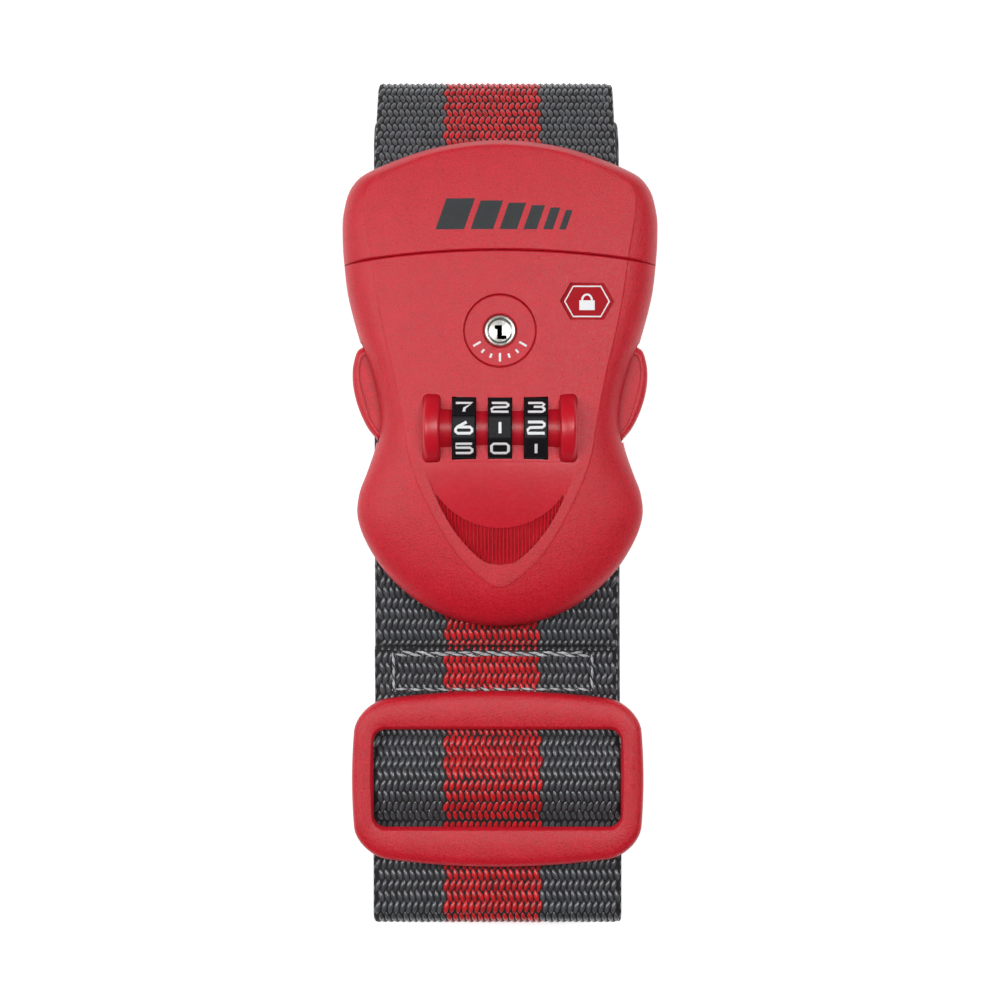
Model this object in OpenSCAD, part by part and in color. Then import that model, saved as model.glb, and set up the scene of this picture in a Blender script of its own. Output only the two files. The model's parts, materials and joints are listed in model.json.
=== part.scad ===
// Luggage strap: a webbing strap with a combination buckle and an adjusting slider.
// It lies on its back, rolled up flat, with the buckle's face up. X is across the
// webbing, Y runs along it towards the tongue, Z is up. The origin is the middle of
// the box around the whole strap, on the surface it lies on.

/* [Webbing] */
// Width of the webbing
web_w = 50; // [48:0.5:51]
// Thickness of the webbing
web_t = 1.5; // [1.2:0.1:1.6]
// Sideways offset of the webbing from the buckle's centre line
web_x = -0.65; // [-1:0.05:0]
// Distance from the origin to either end of the rolled strap
roll_half = 86.8; // [86:0.1:88]
// Height of the rolled layers under the top layer
roll_h = 15; // [12:0.5:15]

/* [Buckle] */
// Height of the buckle's flat back above the surface
back_z = 17; // [17:0.1:18]
// Height of the plane where the front and back shells meet
split_z = 26; // [25.5:0.1:26.5]
// Height of the panel's crown
crown_z = 35.4; // [35:0.1:36]
// Radius of the seam between housing and tongue, seen from the front
seam_r = 201; // [150:1:300]
// Where the seam crosses the centre line
seam_y = 48.8; // [48:0.1:49.5]
// Gap along the seam
seam_gap = 0.3; // [0.2:0.05:0.5]
// Steps in each stretch of the outline
outline_steps = 2; // [1:1:4]

/* [Dials] */
// Radius of a dial across its corners
dial_r = 7.15; // [6.9:0.05:7.2]
// Width of a dial
dial_w = 4.7; // [4.4:0.1:4.9]
// Distance between neighbouring dials
dial_pitch = 7; // [6.8:0.1:7.2]
// Place of the dial axis along the buckle
dial_y = 14; // [13.5:0.1:14.5]
// Height of the dial axis
dial_z = 31.25; // [31:0.05:31.5]
// Number of facets on a dial
dial_facets = 10; // [10:10]

/* [Key cylinder] */
// Place of the key cylinder along the buckle
key_y = 33; // [32.5:0.1:33.5]
// Radius of the plug that turns with the key
plug_r = 3.15; // [3:0.05:3.3]
// Radius of the inset disc around the plug
disc_r = 6.95; // [6.5:0.05:7.2]

/* [Release arms] */
// Place of the arms' pivots across the buckle
arm_x = 22.5; // [22:0.1:23]
// Place of the arms' pivots along the buckle
arm_y = 52; // [51:0.1:53]
// Lowest face of the arms
arm_z0 = 23; // [22.8:0.1:23.2]
// Highest face of the arms
arm_z1 = 29; // [28.8:0.1:29.2]

/* [Slider] */
// Half width of the slider
slider_hw = 29.2; // [28.5:0.1:29.5]
// Place of the slider's centre bar along the strap
slider_y = -56; // [-56.5:0.1:-55.5]
// Lowest face of the slider's rails
slider_z0 = 24.4; // [24.2:0.1:24.8]
// Highest face of the slider's rails
slider_z1 = 27.9; // [27.5:0.1:28.2]

/* [Hidden] */
$fn = 48;

red = [0.80, 0.11, 0.14];
deep_red = [0.62, 0.05, 0.09];
slate = [0.25, 0.27, 0.30];
black = [0.06, 0.06, 0.07];
steel = [0.72, 0.73, 0.75];
thread_grey = [0.75, 0.75, 0.77];

fit = 0.05;
clear = 0.3;
far = 120;

// Half outline of the buckle at its widest, from the crown of the tongue to the lowest
// point of the housing, and the panel's edge beside each of those points.
rim_half = [[0, 71.6], [13, 70.05], [25, 65.6], [29.4, 62.2], [31.1, 57], [31.3, 52],
            [30.95, 46.5], [30.1, 40], [28, 32], [25.7, 25.2], [24.4, 20], [24, 15.5],
            [24.75, 10.5], [26.4, 5.6], [28, 1.2], [28.3, -3.5], [26.4, -8.8],
            [22.3, -14.9], [16, -20.4], [8.4, -23.9], [0, -25.1]];
panel_half = [[0, 69.4], [12.6, 67.9], [23.5, 63.6], [26.2, 61], [26.7, 57], [25.9, 52],
              [25, 46.5], [24.1, 40], [22.6, 32.5], [20.9, 25.5], [19.7, 19.5], [18.7, 13.8],
              [17.9, 9], [16.3, 4], [14.4, -0.3], [12.2, -4.6], [10, -8.3],
              [7.4, -11.8], [4.8, -14.3], [2.4, -16.2], [0, -17.1]];
outline_last = len(rim_half) - 1;
fan_y = 25;

function mix(a, b, k) = a + (b - a) * k;
function mirror_x(p) = [-p[0], p[1]];
// A point on the curve through p1 and p2, with p0 and p3 as its neighbours
function spline(p0, p1, p2, p3, t) =
    0.5 * (2 * p1 + (p2 - p0) * t + (2 * p0 - 5 * p1 + 4 * p2 - p3) * t * t
           + (3 * p1 - p0 - 3 * p2 + p3) * t * t * t);
function knot(half, i) =
    i < 0 ? mirror_x(half[-i]) :
    i > outline_last ? mirror_x(half[2 * outline_last - i]) : half[i];
// The closed outline, clockwise from the crown, through the half outline's points
function right_side(half) = [
    for (i = [0 : outline_last - 1], s = [0 : outline_steps - 1])
        spline(knot(half, i - 1), knot(half, i), knot(half, i + 1), knot(half, i + 2),
               s / outline_steps)];
function closed_outline(half) = let (right = right_side(half), n = len(right)) concat(
    right, [half[outline_last]], [for (i = [n - 1 : -1 : 1]) mirror_x(right[i])]);
rim = closed_outline(rim_half);
panel = closed_outline(panel_half);
rim_n = len(rim);
function between(k) = [for (i = [0 : rim_n - 1]) mix(rim[i], panel[i], k)];
function crown(p) = crown_z - p[0] * p[0] / 320
    - pow(max(0, 10 - p[1]), 2) / 360 - pow(max(0, p[1] - 40), 2) / 500;
function flat_ring(k, z) = [for (p = between(k)) [p[0], p[1], z]];
// A ring on the shoulder between the rim and the panel's edge, s from 0 to 1
shoulder_angle = 76;
rim_wall = 1.2;
function shoulder_ring(s) = let (
    k = (1 - cos(s * shoulder_angle)) / (1 - cos(shoulder_angle)),
    h = sin(s * shoulder_angle) / sin(shoulder_angle),
    low = split_z + rim_wall)
    [for (i = [0 : rim_n - 1]) let (p = mix(rim[i], panel[i], k))
        [p[0], p[1], mix(low, crown(panel[i]), h)]];
function panel_ring(k) = [for (p = panel) let (q = mix(p, [0, fan_y], k)) [q[0], q[1], crown(q)]];

// A closed skin over rings with the same number of points, lowest ring first
module skin(rings) {
    n = len(rings[0]);
    m = len(rings);
    sides = [for (j = [0 : m - 2], i = [0 : n - 1]) let (a = j * n + i, b = j * n + (i + 1) % n)
        [a, a + n, b + n, b]];
    polyhedron([for (r = rings) each r],
        concat([[for (i = [0 : n - 1]) i]], sides, [[for (i = [n - 1 : -1 : 0]) (m - 1) * n + i]]),
        convexity = 6);
}

shoulder_rings = 4;
panel_rings = [0.3, 0.6, 0.85];
module front_block() {
    skin(concat([flat_ring(0, split_z)],
        [for (j = [0 : shoulder_rings]) shoulder_ring(j / shoulder_rings)],
        [for (k = panel_rings) panel_ring(k)],
        [[for (p = panel_ring(0.98)) [p[0], p[1], crown_z]]]));
}
// The back edge is rounded in steps: each is an inset and the height where it starts
back_steps = [[0.3, 0], [0.16, 0.6], [0.07, 1.3], [0, 2.6]];
module back_block() {
    for (s = back_steps)
        prism(between(s[0]), back_z + s[1], split_z);
}
module prism(points, z0, z1) {
    translate([0, 0, z0])
        linear_extrude(z1 - z0)
            polygon(points);
}
// Everything on the housing's side of the seam, grown by a gap
module seam_disc(gap) {
    translate([0, seam_y - seam_r, 0])
        cylinder(r = seam_r + gap, h = far, $fn = 360);
}

wall = 0.42;
cavity_step_z = 29.7;
cavity_top_z = 32;
floor_z = back_z + 1.8;
module front_cavity() {
    prism(between(wall), split_z - 1, cavity_step_z);
    prism(between(1), split_z, cavity_top_z);
}
module back_cavity() {
    prism(between(wall), floor_z, split_z + 1);
}
module block(x0, x1, y0, y1, z0, z1) {
    translate([x0, y0, z0])
        cube([x1 - x0, y1 - y0, z1 - z0]);
}
module both_sides() {
    children();
    mirror([1, 0, 0])
        children();
}
module rod_x(r, x0, x1, y, z) {
    translate([x0, y, z])
        rotate([0, 90, 0])
            cylinder(r = r, h = x1 - x0);
}
module disc_z(r, x, y, z0, z1) {
    translate([x, y, z0])
        cylinder(r = r, h = z1 - z0);
}

// Housing
web_room = web_w / 2 + 1.4;
web_bar_y = -4.5;
web_bar_z = 22.4;
web_bar_r = 1.8;
web_bar_half = 27;
window_y0 = 11.4;
window_y1 = 31.2;
window_z0 = arm_z0 - 0.6;
window_z1 = arm_z1 + 0.6;
flange_r = 7.5;
flange_x0 = 11.7;
flange_x1 = 15;
bar_r = 5.2;
spindle_r = 1.5;
sleeve_r = 3;
screw_spots = [[13, 3], [12, 43.4]];
screw_r = 1;
boss_r = 2.4;
head_r = 2;
module side_windows() {
    both_sides()
        block(19, 40, window_y0, window_y1, window_z0, window_z1);
}
module web_mouth() {
    block(-web_room, web_room, -40, 0.2, floor_z, split_z + 1.1);
}
module dial_slots() {
    for (x = [-1, 0, 1])
        rod_x(dial_r + clear, x * dial_pitch - dial_w / 2 - clear,
            x * dial_pitch + dial_w / 2 + clear, dial_y, dial_z);
}
module housing_front() color(red) {
    intersection() {
        difference() {
            front_block();
            difference() {
                front_cavity();
                for (x = [-1, 1], s = screw_spots)
                    disc_z(boss_r, x * s[0], s[1], split_z, cavity_top_z + 1);
            }
            dial_slots();
            // Room for the cradle's flanges and bar
            both_sides()
                rod_x(flange_r + cradle_gap, flange_x0 - cradle_gap, flange_x1 + cradle_gap,
                    dial_y, dial_z);
            rod_x(bar_r + cradle_gap, -flange_x0, flange_x0, dial_y, dial_z);
            for (x = [-1, 1], s = screw_spots)
                disc_z(screw_r + fit, x * s[0], s[1], split_z - 1, cavity_top_z - 0.5);
            side_windows();
            web_mouth();
            disc_z(disc_r + fit, 0, key_y, crown_z - 1, far);
            disc_z(barrel_r + fit, 0, key_y, split_z, far);
            emblem_pocket();
        }
        seam_disc(-seam_gap / 2);
    }
}
// The cradle holds the dials: two end flanges and a bar that show through the panel,
// with webs between the dials and a slotted floor under them
cradle_gap = 0.06;
cradle_floor_z = 23.05;
cradle_floor_t = 0.7;
flange_chamfer = 0.8;
module dial_cradle() color(red) {
    difference() {
        union() {
            both_sides() {
                rod_x(flange_r, flange_x0, flange_x1 - flange_chamfer, dial_y, dial_z);
                translate([flange_x1 - flange_chamfer, dial_y, dial_z])
                    rotate([0, 90, 0])
                        cylinder(r1 = flange_r, r2 = flange_r - flange_chamfer,
                            h = flange_chamfer);
            }
            rod_x(bar_r, -flange_x0 - 0.5, flange_x0 + 0.5, dial_y, dial_z);
            block(-flange_x0 - 0.5, flange_x0 + 0.5, dial_y - 3, dial_y + 3,
                cradle_floor_z, dial_z);
        }
        difference() {
            dial_slots();
            block(-far, far, -far, far, 0, cradle_floor_z + cradle_floor_t);
        }
        rod_x(sleeve_r + clear, -flange_x0, flange_x0, dial_y, dial_z);
        rod_x(spindle_r + fit, -flange_x1 + 0.4, flange_x1 - 0.4, dial_y, dial_z);
        for (x = [-1, 0, 1])
            block(x * dial_pitch - 1.8, x * dial_pitch + 1.8, dial_y - 2.8, dial_y + 2.8,
                0, cradle_floor_z + 1.5);
    }
}
emblem_spot = [16.7, 38.8];
emblem_half = [5.3, 3.55];
emblem_z = 33.9;
module emblem_shape(extra) {
    w = emblem_half[0] + extra;
    h = emblem_half[1] + extra;
    polygon([[-w, 0], [-w * 0.62, -h], [w * 0.62, -h], [w, 0], [w * 0.62, h], [-w * 0.62, h]]);
}
module emblem_pocket() {
    translate([emblem_spot[0], emblem_spot[1], emblem_z])
        linear_extrude(4)
            emblem_shape(fit);
}
module housing_back() color(red) {
    intersection() {
        difference() {
            back_block();
            difference() {
                back_cavity();
                for (x = [-1, 1], s = screw_spots)
                    disc_z(boss_r, x * s[0], s[1], back_z, split_z);
                // Saddles that hold the ends of the web bar
                both_sides()
                    block(web_room, far, web_bar_y - 3, web_bar_y + 3, back_z, split_z + 2);
                // Posts that guide the tongue's blade
                both_sides()
                    block(blade_hw + clear, blade_hw + 1.8, 34, 40, back_z, arm_z0 - 1);
            }
            for (x = [-1, 1], s = screw_spots) {
                disc_z(screw_r + 0.1, x * s[0], s[1], 0, far);
                disc_z(head_r + 0.2, x * s[0], s[1], 0, back_z + 1.9);
            }
            side_windows();
            web_mouth();
            rod_x(web_bar_r + fit, -web_bar_half - fit, web_bar_half + fit, web_bar_y, web_bar_z);
            block(-web_bar_half - fit, web_bar_half + fit, web_bar_y - web_bar_r - fit,
                web_bar_y + web_bar_r + fit, web_bar_z, far);
            disc_z(reset_r + fit, reset_spot[0], reset_spot[1], 0, far);
        }
        seam_disc(-seam_gap / 2);
    }
}
module screw(x, y, head_z, top_z) {
    disc_z(screw_r, x, y, head_z, top_z);
    difference() {
        disc_z(head_r, x, y, head_z, head_z + 1.4);
        for (a = [0, 90])
            translate([x, y, head_z])
                rotate([0, 0, a])
                    cube([2.6, 0.5, 1.2], center = true);
    }
}
module housing_screws() color(steel) {
    for (x = [-1, 1], s = screw_spots)
        screw(x * s[0], s[1], back_z + 0.4, cavity_top_z - 1);
}
module web_bar() color(steel) {
    rod_x(web_bar_r, -web_bar_half, web_bar_half, web_bar_y, web_bar_z);
}

// Dials, their sleeves and the shaft they turn on
module dial(i) color(black) {
    translate([i * dial_pitch - dial_w / 2, dial_y, dial_z])
        rotate([0, 90, 0])
            difference() {
                union() {
                    rotate([0, 0, 180 / dial_facets])
                        cylinder(r = dial_r, h = dial_w, $fn = dial_facets);
                }
                // Shallow grooves between the facets
                for (a = [0 : 360 / dial_facets : 359])
                    rotate([0, 0, a + 180 / dial_facets])
                        translate([dial_r, 0, dial_w / 2])
                            cube([0.7, 0.5, dial_w + 1], center = true);
                translate([0, 0, -1])
                    cylinder(r = sleeve_r + fit, h = dial_w + 2);
            }
}
module dial_sleeve(i) color(steel) {
    x0 = i * dial_pitch - dial_w / 2 - 0.6;
    difference() {
        rod_x(sleeve_r, x0, x0 + dial_w + 1.2, dial_y, dial_z);
        rod_x(spindle_r + fit, x0 - 1, x0 + dial_w + 3, dial_y, dial_z);
        // The gate that the lock plate's finger falls into
        block(x0 - 1, x0 + 0.5, dial_y + 1.9, dial_y + 5, dial_z - 0.6, dial_z + 0.6);
    }
}
module dial_left() { dial(-1); }
module dial_middle() { dial(0); }
module dial_right() { dial(1); }
module dial_sleeve_left() { dial_sleeve(-1); }
module dial_sleeve_middle() { dial_sleeve(0); }
module dial_sleeve_right() { dial_sleeve(1); }
spindle_x0 = -14.4;
spindle_x1 = 13.2;
module dial_spindle() color(steel) {
    rod_x(spindle_r, spindle_x0 + 1.3, spindle_x1, dial_y, dial_z);
}
module helix_spring(r, wire, pitch, turns) {
    steps = 12;
    sides = 5;
    total = round(turns * steps);
    ring = function (a) [for (s = [0 : sides - 1]) let (q = s * 360 / sides)
        [(r + wire * cos(q)) * cos(a), (r + wire * cos(q)) * sin(a),
         a / 360 * pitch + wire * sin(q)]];
    skin([for (j = [0 : total]) [for (p = ring(j * 360 / steps)) p]]);
}
module spindle_spring() color(steel) {
    translate([spindle_x0, dial_y, dial_z])
        rotate([0, 90, 0])
            translate([0, 0, 0.2])
                helix_spring(0.85, 0.16, 0.42, 2);
}
module detent_spring() color(steel) {
    leaf_z = floor_z + 0.1;
    block(-10, 10, 6, 9, leaf_z, leaf_z + 0.4);
    for (i = [-1, 0, 1])
        translate([i * dial_pitch - 1.4, 8.8, leaf_z])
            rotate([90, 0, 90])
                linear_extrude(2.8)
                    polygon([[-0.5, 0], [0.3, 0], [4.4, 4.5], [6, 4.5], [7.2, 3.4], [7.2, 3.9],
                             [6.2, 4.9], [4.3, 4.9], [0.1, 0.4], [-0.5, 0.4]]);
}

// Lock plate: moves along Y to stand behind the release arms
plate_z0 = 24.5;
plate_z1 = 27.2;
plate_travel = 2.6;
module lock_plate() color(steel) {
    difference() {
        union() {
            block(-17, 17, 22, 25, plate_z0, plate_z1);
            both_sides()
                block(13.8, 17, 22, 28.3, plate_z0, plate_z1);
        }
        disc_z(1.1, 0, 23.5, 0, far);
    }
}
module lock_plate_spring() color(steel) {
    translate([10.5, 25.2, (plate_z0 + plate_z1) / 2])
        rotate([-90, 0, 0])
            helix_spring(0.9, 0.18, 1.35, 6);
}

// Key cylinder
barrel_r = 5;
barrel_z0 = 24;
disc_z0 = crown_z - 1;
keyway_w = 1.1;
module key_barrel() color(steel) {
    difference() {
        disc_z(barrel_r, 0, key_y, barrel_z0, disc_z0 - 0.1);
        disc_z(plug_r + fit, 0, key_y, 0, far);
    }
}
module key_plug() color(steel) {
    difference() {
        disc_z(plug_r, 0, key_y, barrel_z0, crown_z - 0.2);
        // Keyway: a slot with an offset tooth
        block(-keyway_w / 2, keyway_w / 2, key_y - 2, key_y + 2.2, barrel_z0 + 2, far);
        block(-keyway_w / 2, 1.3, key_y - 0.5, key_y + 0.5, barrel_z0 + 2, far);
    }
}
wafer_count = 4;
module key_wafers() color([0.8, 0.66, 0.3]) {
    for (i = [0 : wafer_count - 1])
        block(-0.45, 0.45, key_y - 1.9, key_y + 1.7 - 0.2 * (i % 2),
            barrel_z0 + 2.4 + i * 1.9, barrel_z0 + 3 + i * 1.9);
}
module key_cam() color(steel) {
    cam_z0 = 22.2;
    disc_z(2.2, 0, key_y, cam_z0, barrel_z0);
    hull() {
        disc_z(1.2, 0, key_y, cam_z0, cam_z0 + 1.2);
        disc_z(0.9, 0, key_y + 5.2, cam_z0, cam_z0 + 1.2);
    }
}
module key_disc() color(red) {
    difference() {
        disc_z(disc_r, 0, key_y, disc_z0, crown_z - 0.25);
        disc_z(plug_r + 0.1, 0, key_y, 0, far);
    }
}
module emblem_inlay() color([0.93, 0.93, 0.94]) {
    translate([emblem_spot[0], emblem_spot[1], emblem_z + 0.02])
        linear_extrude(0.55)
            emblem_shape(0);
}
reset_spot = [-16, 20];
reset_r = 1.2;
module reset_pin() color(black) {
    disc_z(reset_r, reset_spot[0], reset_spot[1], back_z + 0.1, 22.2);
}

// Tongue: the half of the buckle that pulls out, with its two release arms
tongue_bar_y = 59.5;
tongue_bar_z = 22.3;
tongue_bar_r = 1.8;
tongue_bar_half = 27.4;
tongue_screw_spots = [[10, 53]];
module tongue_front() color(red) {
    difference() {
        difference() {
            front_block();
            difference() {
                front_cavity();
                for (x = [-1, 1], s = tongue_screw_spots)
                    disc_z(boss_r, x * s[0], s[1], split_z, cavity_top_z + 1);
            }
            for (x = [-1, 1], s = tongue_screw_spots)
                disc_z(screw_r + fit, x * s[0], s[1], split_z - 1, cavity_top_z - 0.5);
        }
        seam_disc(seam_gap / 2);
    }
}
module tongue_back() color(red) {
    difference() {
        difference() {
            back_block();
            difference() {
                back_cavity();
                for (x = [-1, 1], s = tongue_screw_spots)
                    disc_z(boss_r, x * s[0], s[1], back_z, split_z);
                both_sides()
                    block(web_room, far, tongue_bar_y - 3, tongue_bar_y + 3, back_z, split_z + 2);
            }
            for (x = [-1, 1], s = tongue_screw_spots) {
                disc_z(screw_r + 0.1, x * s[0], s[1], 0, far);
                disc_z(head_r + 0.2, x * s[0], s[1], 0, back_z + 1.9);
            }
            block(-web_room, web_room, 56, 90, floor_z, far);
            rod_x(tongue_bar_r + fit, -tongue_bar_half - fit, tongue_bar_half + fit,
                tongue_bar_y, tongue_bar_z);
            block(-tongue_bar_half - fit, tongue_bar_half + fit,
                tongue_bar_y - tongue_bar_r - fit, tongue_bar_y + tongue_bar_r + fit,
                tongue_bar_z, far);
        }
        seam_disc(seam_gap / 2);
    }
}
module arm_pins() color(steel) {
    both_sides()
        disc_z(pivot_r, arm_x, arm_y, floor_z, arm_z1 - 0.5);
}
module tongue_screws() color(steel) {
    for (x = [-1, 1], s = tongue_screw_spots)
        screw(x * s[0], s[1], back_z + 0.4, cavity_top_z - 1);
}
module tongue_bar() color(steel) {
    rod_x(tongue_bar_r, -tongue_bar_half, tongue_bar_half, tongue_bar_y, tongue_bar_z);
}
blade_hw = 7;
blade_z0 = floor_z + 0.3;
blade_z1 = blade_z0 + 1.8;
module tongue_plate() color(steel) {
    difference() {
        union() {
            block(-blade_hw, blade_hw, 30, 55, blade_z0, blade_z1);
            block(-14, 14, 50, 55, blade_z0, blade_z1);
        }
        block(-3, 3, 33, 37, 0, far);
        for (x = [-1, 1], s = tongue_screw_spots)
            disc_z(boss_r + 0.1, x * s[0], s[1], 0, far);
    }
}

// A release arm pivots in the tongue, runs down inside the housing and ends in an ear
// that stands out through the housing's side window
pivot_r = 1.2;
ear_points = [[22, 12.6], [24.6, 12.1], [26.8, 14.9], [28.4, 18.4], [29.4, 22],
              [29.6, 25.4], [29.3, 28.4], [28.6, 30.8], [27, 30.5], [24, 30], [22, 30]];
module release_arm() color(red) {
    difference() {
        union() {
            disc_z(2.6, arm_x, arm_y, arm_z0, arm_z1);
            block(21.8, 24, 14, arm_y, arm_z0, arm_z1);
            // The rib that the lock plate stands behind
            block(17.4, 22, 29.5, 32.5, arm_z0, arm_z1);
            prism(ear_points, arm_z0, arm_z1);
        }
        disc_z(pivot_r + fit, arm_x, arm_y, 0, far);
        // Recessed pad on the ear
        translate([27.1, 23, arm_z1 - 0.6])
            scale_pad();
    }
}
module scale_pad() {
    linear_extrude(2)
        polygon([[-0.9, -8], [0.6, -5.4], [1.3, -1], [1.3, 3.4], [0.7, 6.4], [-1.4, 6.4],
                 [-2.2, 0]]);
}
module release_arm_right() { release_arm(); }
module release_arm_left() {
    mirror([1, 0, 0])
        release_arm();
}
module arm_spring() color(steel) {
    translate([18.6, 40, (arm_z0 + arm_z1) / 2])
        rotate([0, 90, 0])
            helix_spring(1.1, 0.18, 0.75, 4);
}
module arm_spring_right() { arm_spring(); }
module arm_spring_left() {
    mirror([1, 0, 0])
        arm_spring();
}

// Slider: a frame with a hidden centre bar
bar_z = 21.6;
slider_bar_r = 1.9;
slider_top = -38.4;
slider_bottom = -73.4;
window_top = -46;
window_bottom = -65.4;
slider_x = -0.45;
window_hw = 24.7;
window_lip_z = 26.95;
web_room_hw = web_w / 2 + 0.6;
crown_rise = 2.6;
corner_r = 6.5;
slider_mid_y = (slider_top + slider_bottom) / 2;
function arc_points(cx, cy, r, a0, a1, n) =
    [for (i = [0 : n]) let (a = mix(a0, a1, i / n)) [cx + r * cos(a), cy + r * sin(a)]];
// A quarter of the slider's outline: crowned long edge, round corner, slightly barrelled side
function slider_quarter(hw, hh) = concat(
    [for (x = [0 : 4 : hw - corner_r - 2]) [x, hh - crown_rise * x * x / (hw * hw)]],
    arc_points(hw - corner_r - 0.4, hh - crown_rise * 0.66 - corner_r, corner_r, 78, 8, 6),
    [[hw, 0]]);
function four_corners(q) = let (n = len(q)) concat(q,
    [for (i = [n - 2 : -1 : 0]) [q[i][0], -q[i][1]]],
    [for (i = [1 : n - 1]) [-q[i][0], -q[i][1]]],
    [for (i = [n - 2 : -1 : 1]) [-q[i][0], q[i][1]]]);
module slider_slab(inset, z0, z1) {
    hw = slider_hw - inset;
    hh = (slider_top - slider_bottom) / 2 - inset;
    translate([slider_x, slider_mid_y, 0])
        prism(four_corners(slider_quarter(hw, hh)), z0, z1);
}
module slider_frame() color(red) {
    mid_z = slider_z0 + 2.2;
    difference() {
        union() {
            slider_slab(0, slider_z0 + 0.6, mid_z + 0.3);
            slider_slab(0.5, slider_z0, mid_z + 0.9);
            slider_slab(1.4, slider_z0 + 1, slider_z1);
            // Cheeks that carry the bar
            both_cheeks();
        }
        translate([slider_x, 0, 0])
            block(-window_hw, window_hw, window_bottom, window_top, 0, far);
        // The webbing has more room under the window's lip
        translate([web_x, 0, 0])
            block(-web_room_hw, web_room_hw, window_bottom, window_top, 0, window_lip_z);
    }
    rod_x(slider_bar_r, slider_x - slider_hw + 1.5, slider_x + slider_hw - 1.5, slider_y, bar_z);
}
module both_cheeks() {
    for (s = [-1, 1])
        translate([slider_x + s * (slider_hw - 2) - 1.3, slider_y - 5, bar_z - slider_bar_r])
            cube([2.6, 10, slider_z0 + 1.5 - bar_z + slider_bar_r]);
}

// Webbing: a band of even thickness along a path in the Y-Z plane
function unit(v) = v / norm(v);
function tangent(path, i) = let (n = len(path) - 1)
    unit(unit(path[min(n, i + 1)] - path[i == n ? i - 1 : i])
         + unit(path[i == 0 ? 1 : i] - path[max(0, i - 1)]));
function shifted(path, d) = [for (i = [0 : len(path) - 1])
    let (t = tangent(path, i)) path[i] + d * [-t[1], t[0]]];
function reversed(v) = [for (i = [len(v) - 1 : -1 : 0]) v[i]];
module band(path, w = web_w, x = web_x) {
    translate([x - w / 2, 0, 0])
        rotate([90, 0, 90])
            linear_extrude(w)
                polygon(concat(shifted(path, web_t / 2), reversed(shifted(path, -web_t / 2))));
}
half_t = web_t / 2;
layer = web_t + 0.1;
loop_gap = 0.1;

// The short doubled link between the housing's bar and the slider's bar
link_top_z = 19.6;
link_low_z = 17.95;
link_r1 = web_bar_r + loop_gap + half_t;
link_r2 = slider_bar_r + loop_gap + half_t;
module link_webbing() color(slate) {
    band(concat([[-31, 18.4], [-40, link_low_z], [-48, link_low_z + 0.2]],
        arc_points(slider_y, bar_z, link_r2, 280, 70, 14),
        [[-50, 22.4], [-46.4, link_top_z + 0.2], [-44, link_top_z], [-40, link_top_z + 0.1],
         [-34, 20.6], [-28, 22.1], [-14, 24.6]],
        arc_points(web_bar_y, web_bar_z, link_r1, 96, -90, 14),
        [[-20, web_bar_z - link_r1], [-26.5, web_bar_z - link_r1 - 0.1], [-30, 18.62]]));
}

// The long strap's front strand: round the bottom fold, over the slider's bar and back
// under its upper rail to the folded and stitched hem
top_layer_z = roll_h + half_t + 0.1;
fold_r = 2.65;
fold_y = -85.6 + fold_r + half_t;
hem_end_y = -28.9;
hem_r = layer / 2;
function hem_z(y) = mix(22.9, 25.2, (y + 41) / 12);
module strap_front() color(slate) {
    band(concat([[70, top_layer_z], [0, top_layer_z]],
        arc_points(fold_y, top_layer_z + fold_r, fold_r, 270, 90, 12),
        [[-70, top_layer_z + 2 * fold_r], [-65, 22.6], [-60.5, 25.1]],
        arc_points(slider_y, bar_z, link_r2 + layer, 105, 75, 4),
        [[-51.5, 24.9], [-47, 23.1], [-44.5, 22.85], [-41, 22.9]],
        [[-36, hem_z(-36)]],
        arc_points(hem_end_y - half_t - hem_r, hem_z(hem_end_y - 2) - hem_r - 0.1, hem_r,
            80, -80, 5),
        [[-36, hem_z(-36) - layer], [-41, 22.9 - layer], [-43.5, 22.85 - layer]]));
}

// The rolled part of the long strap, as one solid with round ends
roll_r = roll_h / 2;
roll_top_y = 71;
module strap_roll() color(slate) {
    translate([web_x - web_w / 2, 0, 0])
        rotate([90, 0, 90])
            linear_extrude(web_w)
                polygon(concat(
                    arc_points(roll_top_y, roll_r, roll_r, 90, -90, 16),
                    arc_points(-roll_half + roll_r, roll_r, roll_r, 270, 90, 16)));
}

// The long strap's other end: sewn round the tongue's bar, over the top and down
nose_r1 = 6;
nose_r2 = 6;
nose_slope = 50;
nose_y1 = 64.3;
loop_r = tongue_bar_r + loop_gap + half_t;
module strap_nose() color(slate) {
    top_z = tongue_bar_z + loop_r;
    end_y = roll_half - half_t - nose_r2;
    band(concat([[67, tongue_bar_z - loop_r + 0.3]],
        arc_points(tongue_bar_y, tongue_bar_z, loop_r, 270, 90, 14),
        arc_points(nose_y1, top_z - nose_r1, nose_r1, 86, nose_slope, 5),
        arc_points(end_y, half_t + nose_r2, nose_r2, nose_slope, -90, 14),
        [[77.2, half_t]]));
}

// Box stitching through the hem
stitch_pitch = 2.8;
stitch_x0 = -21.2;
stitch_x1 = 18.2;
stitch_rows = [-30.9, -37.9];
stitch_d = 0.5;
module stitch(x, y, along_x) {
    slope = atan((hem_z(-30) - hem_z(-31)) / 1);
    translate([x, y, hem_z(y) + half_t + stitch_d / 2 + 0.02])
        rotate([slope, 0, 0])
            cube([along_x ? 2.2 : stitch_d, along_x ? stitch_d : 2.2, stitch_d], center = true);
}
module hem_stitches() color(thread_grey) {
    for (y = stitch_rows, x = [stitch_x0 + 1.4 : stitch_pitch : stitch_x1 - 1])
        stitch(x, y, true);
    for (x = [stitch_x0, stitch_x1], k = [1, 2])
        stitch(x, stitch_rows[0] - k * stitch_pitch, false);
}

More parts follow.
